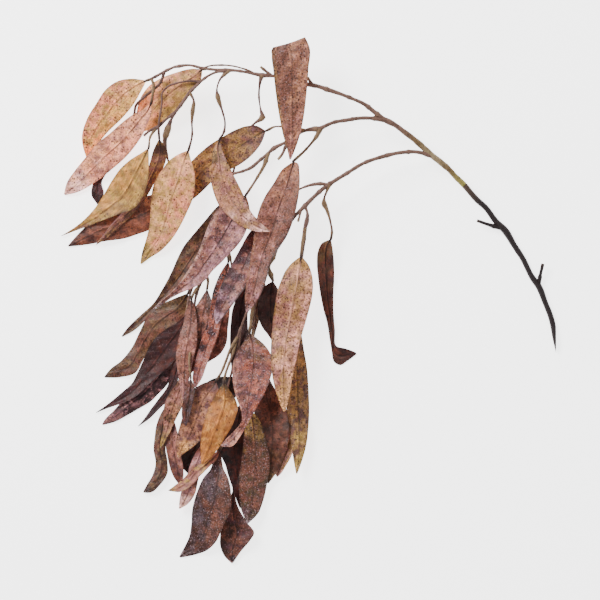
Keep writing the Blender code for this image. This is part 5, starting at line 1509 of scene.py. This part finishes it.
class BRANCH_OT_upper_stem(bpy.types.Operator):
    """Make the tan upper stem, the arms and their cut stubs"""
    bl_idname = "branch.upper_stem"
    bl_label = "Upper stem and arms"

    def execute(self, context):
        settings = context.scene.branch_wood
        _, route = stem_parts()
        wander_diameter(route, "upper", STEM_KNOBBLE)
        stem = rod("upper_rod", route, settings.sides, STALK_BARK)
        rough_bark(stem, settings.relief, UPPER_KNOTS)
        paint_rod(stem, route, [COLLAR_TONE, STEM_TONE, STEM_PALE_TONE, STEM_TONE, ARM_TONE, ARM_TONE])
        parts = [stem]
        for name, arm in ARMS.items():
            fine = knobbly(arm, name, STOUT_ARM)
            piece = rod(name, fine, ARM_SIDES, STALK_BARK)
            ends = (ARM_END_TONE, CUT_WOOD_TONE) if "stub" in name else (ARM_TONE, ARM_END_TONE)
            paint_rod(piece, fine, [ends[0], ARM_TONE, ARM_END_TONE, ends[1]], SLEEVE_TONE)
            parts.append(piece)
        finish_piece(join("upper_stem_bark", parts), "upper_stem_and_arms")
        return {"FINISHED"}


class BRANCH_OT_leaves(bpy.types.Operator):
    """Lay every leaf and make the sprays and single leaves with their stalks"""
    bl_idname = "branch.leaves"
    bl_label = "Leaves"

    def execute(self, context):
        settings = context.scene.branch_leaves
        rest = lay_everything()
        parts = {}
        for name, twig in TWIGS.items():
            parts[twig.spray] = [twig_piece(name, twig.route)]
        for leaf in LOWER_LEAVES + UPPER_LEAVES:
            stalk, fractions, heights = rest[leaf.name]
            blade = laid_blade(leaf, fractions, heights, settings)
            stem = stalk_of(leaf, stalk, fractions, heights)
            node = node_of(leaf)
            parts[node] = [blade, stem, *parts.get(node, [])]
        for node, things in parts.items():
            finish_piece(join(node + "_skin", things), node)
        return {"FINISHED"}


class BRANCH_OT_folded_leaf(bpy.types.Operator):
    """Make the leaf that climbs from the top arm and folds over"""
    bl_idname = "branch.folded_leaf"
    bl_label = "Folded leaf"

    def execute(self, context):
        blade = folded_blade(context.scene.branch_leaves)
        route = knobbly(FOLDED_STALK, "folded")
        stalk = rod("folded_stalk", route, THIN_SIDES, STALK_BARK)
        paint_rod(stalk, route, [STALK_TONE, STALK_DARK])
        finish_piece(join("folded_leaf_skin", [blade, stalk]), "folded_leaf")
        return {"FINISHED"}


class BRANCH_OT_stage(bpy.types.Operator):
    """Make the floor, the soft lights and the camera that looks straight down"""
    bl_idname = "branch.stage"
    bl_label = "Stage"

    def execute(self, context):
        settings = context.scene.branch_stage
        deselect_all()
        bpy.ops.mesh.primitive_plane_add(size=settings.floor_size, location=(0, 0, -FLOOR_DROP * MM))
        floor = context.object
        floor.name = "floor"
        floor.data.materials.append(bpy.data.materials[STUDIO_FLOOR])
        soft_light("Key light", KEY_SPOT, KEY_WIDTH, settings.key_power)
        soft_light("Fill light", FILL_SPOT, FILL_WIDTH, settings.fill_power)
        sky = bpy.data.worlds.new("Even light")
        context.scene.world = sky
        sky.use_nodes = True
        backdrop = sky.node_tree.nodes["Background"]
        backdrop.inputs["Color"].default_value = (*settings.sky, 1)
        backdrop.inputs["Strength"].default_value = settings.sky_strength
        look_down(settings.camera_height)
        return {"FINISHED"}


def soft_light(name, spot, size, power):
    """A square soft box that faces the branch."""
    bpy.ops.object.light_add(type="AREA", location=spot)
    lamp = bpy.context.object
    lamp.name = name
    lamp.data.size = size
    lamp.data.energy = power
    lamp.rotation_mode = "QUATERNION"
    lamp.rotation_quaternion = (-lamp.location).to_track_quat("-Z", "Y")


def look_down(height):
    """A long lens over the middle of the board, whose side fills the picture."""
    middle = (BOARD / 2 - MIDDLE_RIGHT) * MM, (MIDDLE_DOWN - BOARD / 2) * MM
    bpy.ops.object.camera_add(location=(*middle, height), rotation=(0, 0, 0))
    camera = bpy.context.object
    camera.name = "Camera"
    camera.data.sensor_width = SENSOR_WIDTH
    camera.data.lens = SENSOR_WIDTH * (height - PILE_MIDDLE * MM) / (BOARD * MM)
    camera.data.clip_end = FARTHEST_SEEN * height
    bpy.context.scene.camera = camera


class BRANCH_PT_panel(bpy.types.Panel):
    """The branch's pieces and settings"""
    bl_idname = "BRANCH_PT_panel"
    bl_label = "Eucalyptus branch"
    bl_space_type = "VIEW_3D"
    bl_region_type = "UI"
    bl_category = "Branch"

    def draw(self, context):
        scene = context.scene
        for group in (scene.branch_leaves, scene.branch_wood, scene.branch_stage):
            for name in group.bl_rna.properties.keys():
                if name not in {"rna_type", "name"}:
                    self.layout.prop(group, name)
        for step in STEPS:
            self.layout.operator(step.bl_idname)


STEPS = (
    BRANCH_OT_materials,
    BRANCH_OT_lower_stem,
    BRANCH_OT_upper_stem,
    BRANCH_OT_leaves,
    BRANCH_OT_folded_leaf,
    BRANCH_OT_stage,
)
GROUPS = (LeafSettings, WoodSettings, StageSettings)


def register():
    for group in (*GROUPS, *STEPS, BRANCH_PT_panel):
        bpy.utils.register_class(group)
    bpy.types.Scene.branch_leaves = PointerProperty(type=LeafSettings)
    bpy.types.Scene.branch_wood = PointerProperty(type=WoodSettings)
    bpy.types.Scene.branch_stage = PointerProperty(type=StageSettings)


def unregister():
    del bpy.types.Scene.branch_leaves
    del bpy.types.Scene.branch_wood
    del bpy.types.Scene.branch_stage
    for group in reversed((*GROUPS, *STEPS, BRANCH_PT_panel)):
        bpy.utils.unregister_class(group)


def main():
    register()
    deselect_all()
    bpy.ops.branch.materials()
    bpy.ops.branch.lower_stem()
    bpy.ops.branch.upper_stem()
    bpy.ops.branch.leaves()
    bpy.ops.branch.folded_leaf()
    bpy.ops.branch.stage()
    bpy.context.view_layer.update()


if __name__ == "__main__":
    main()
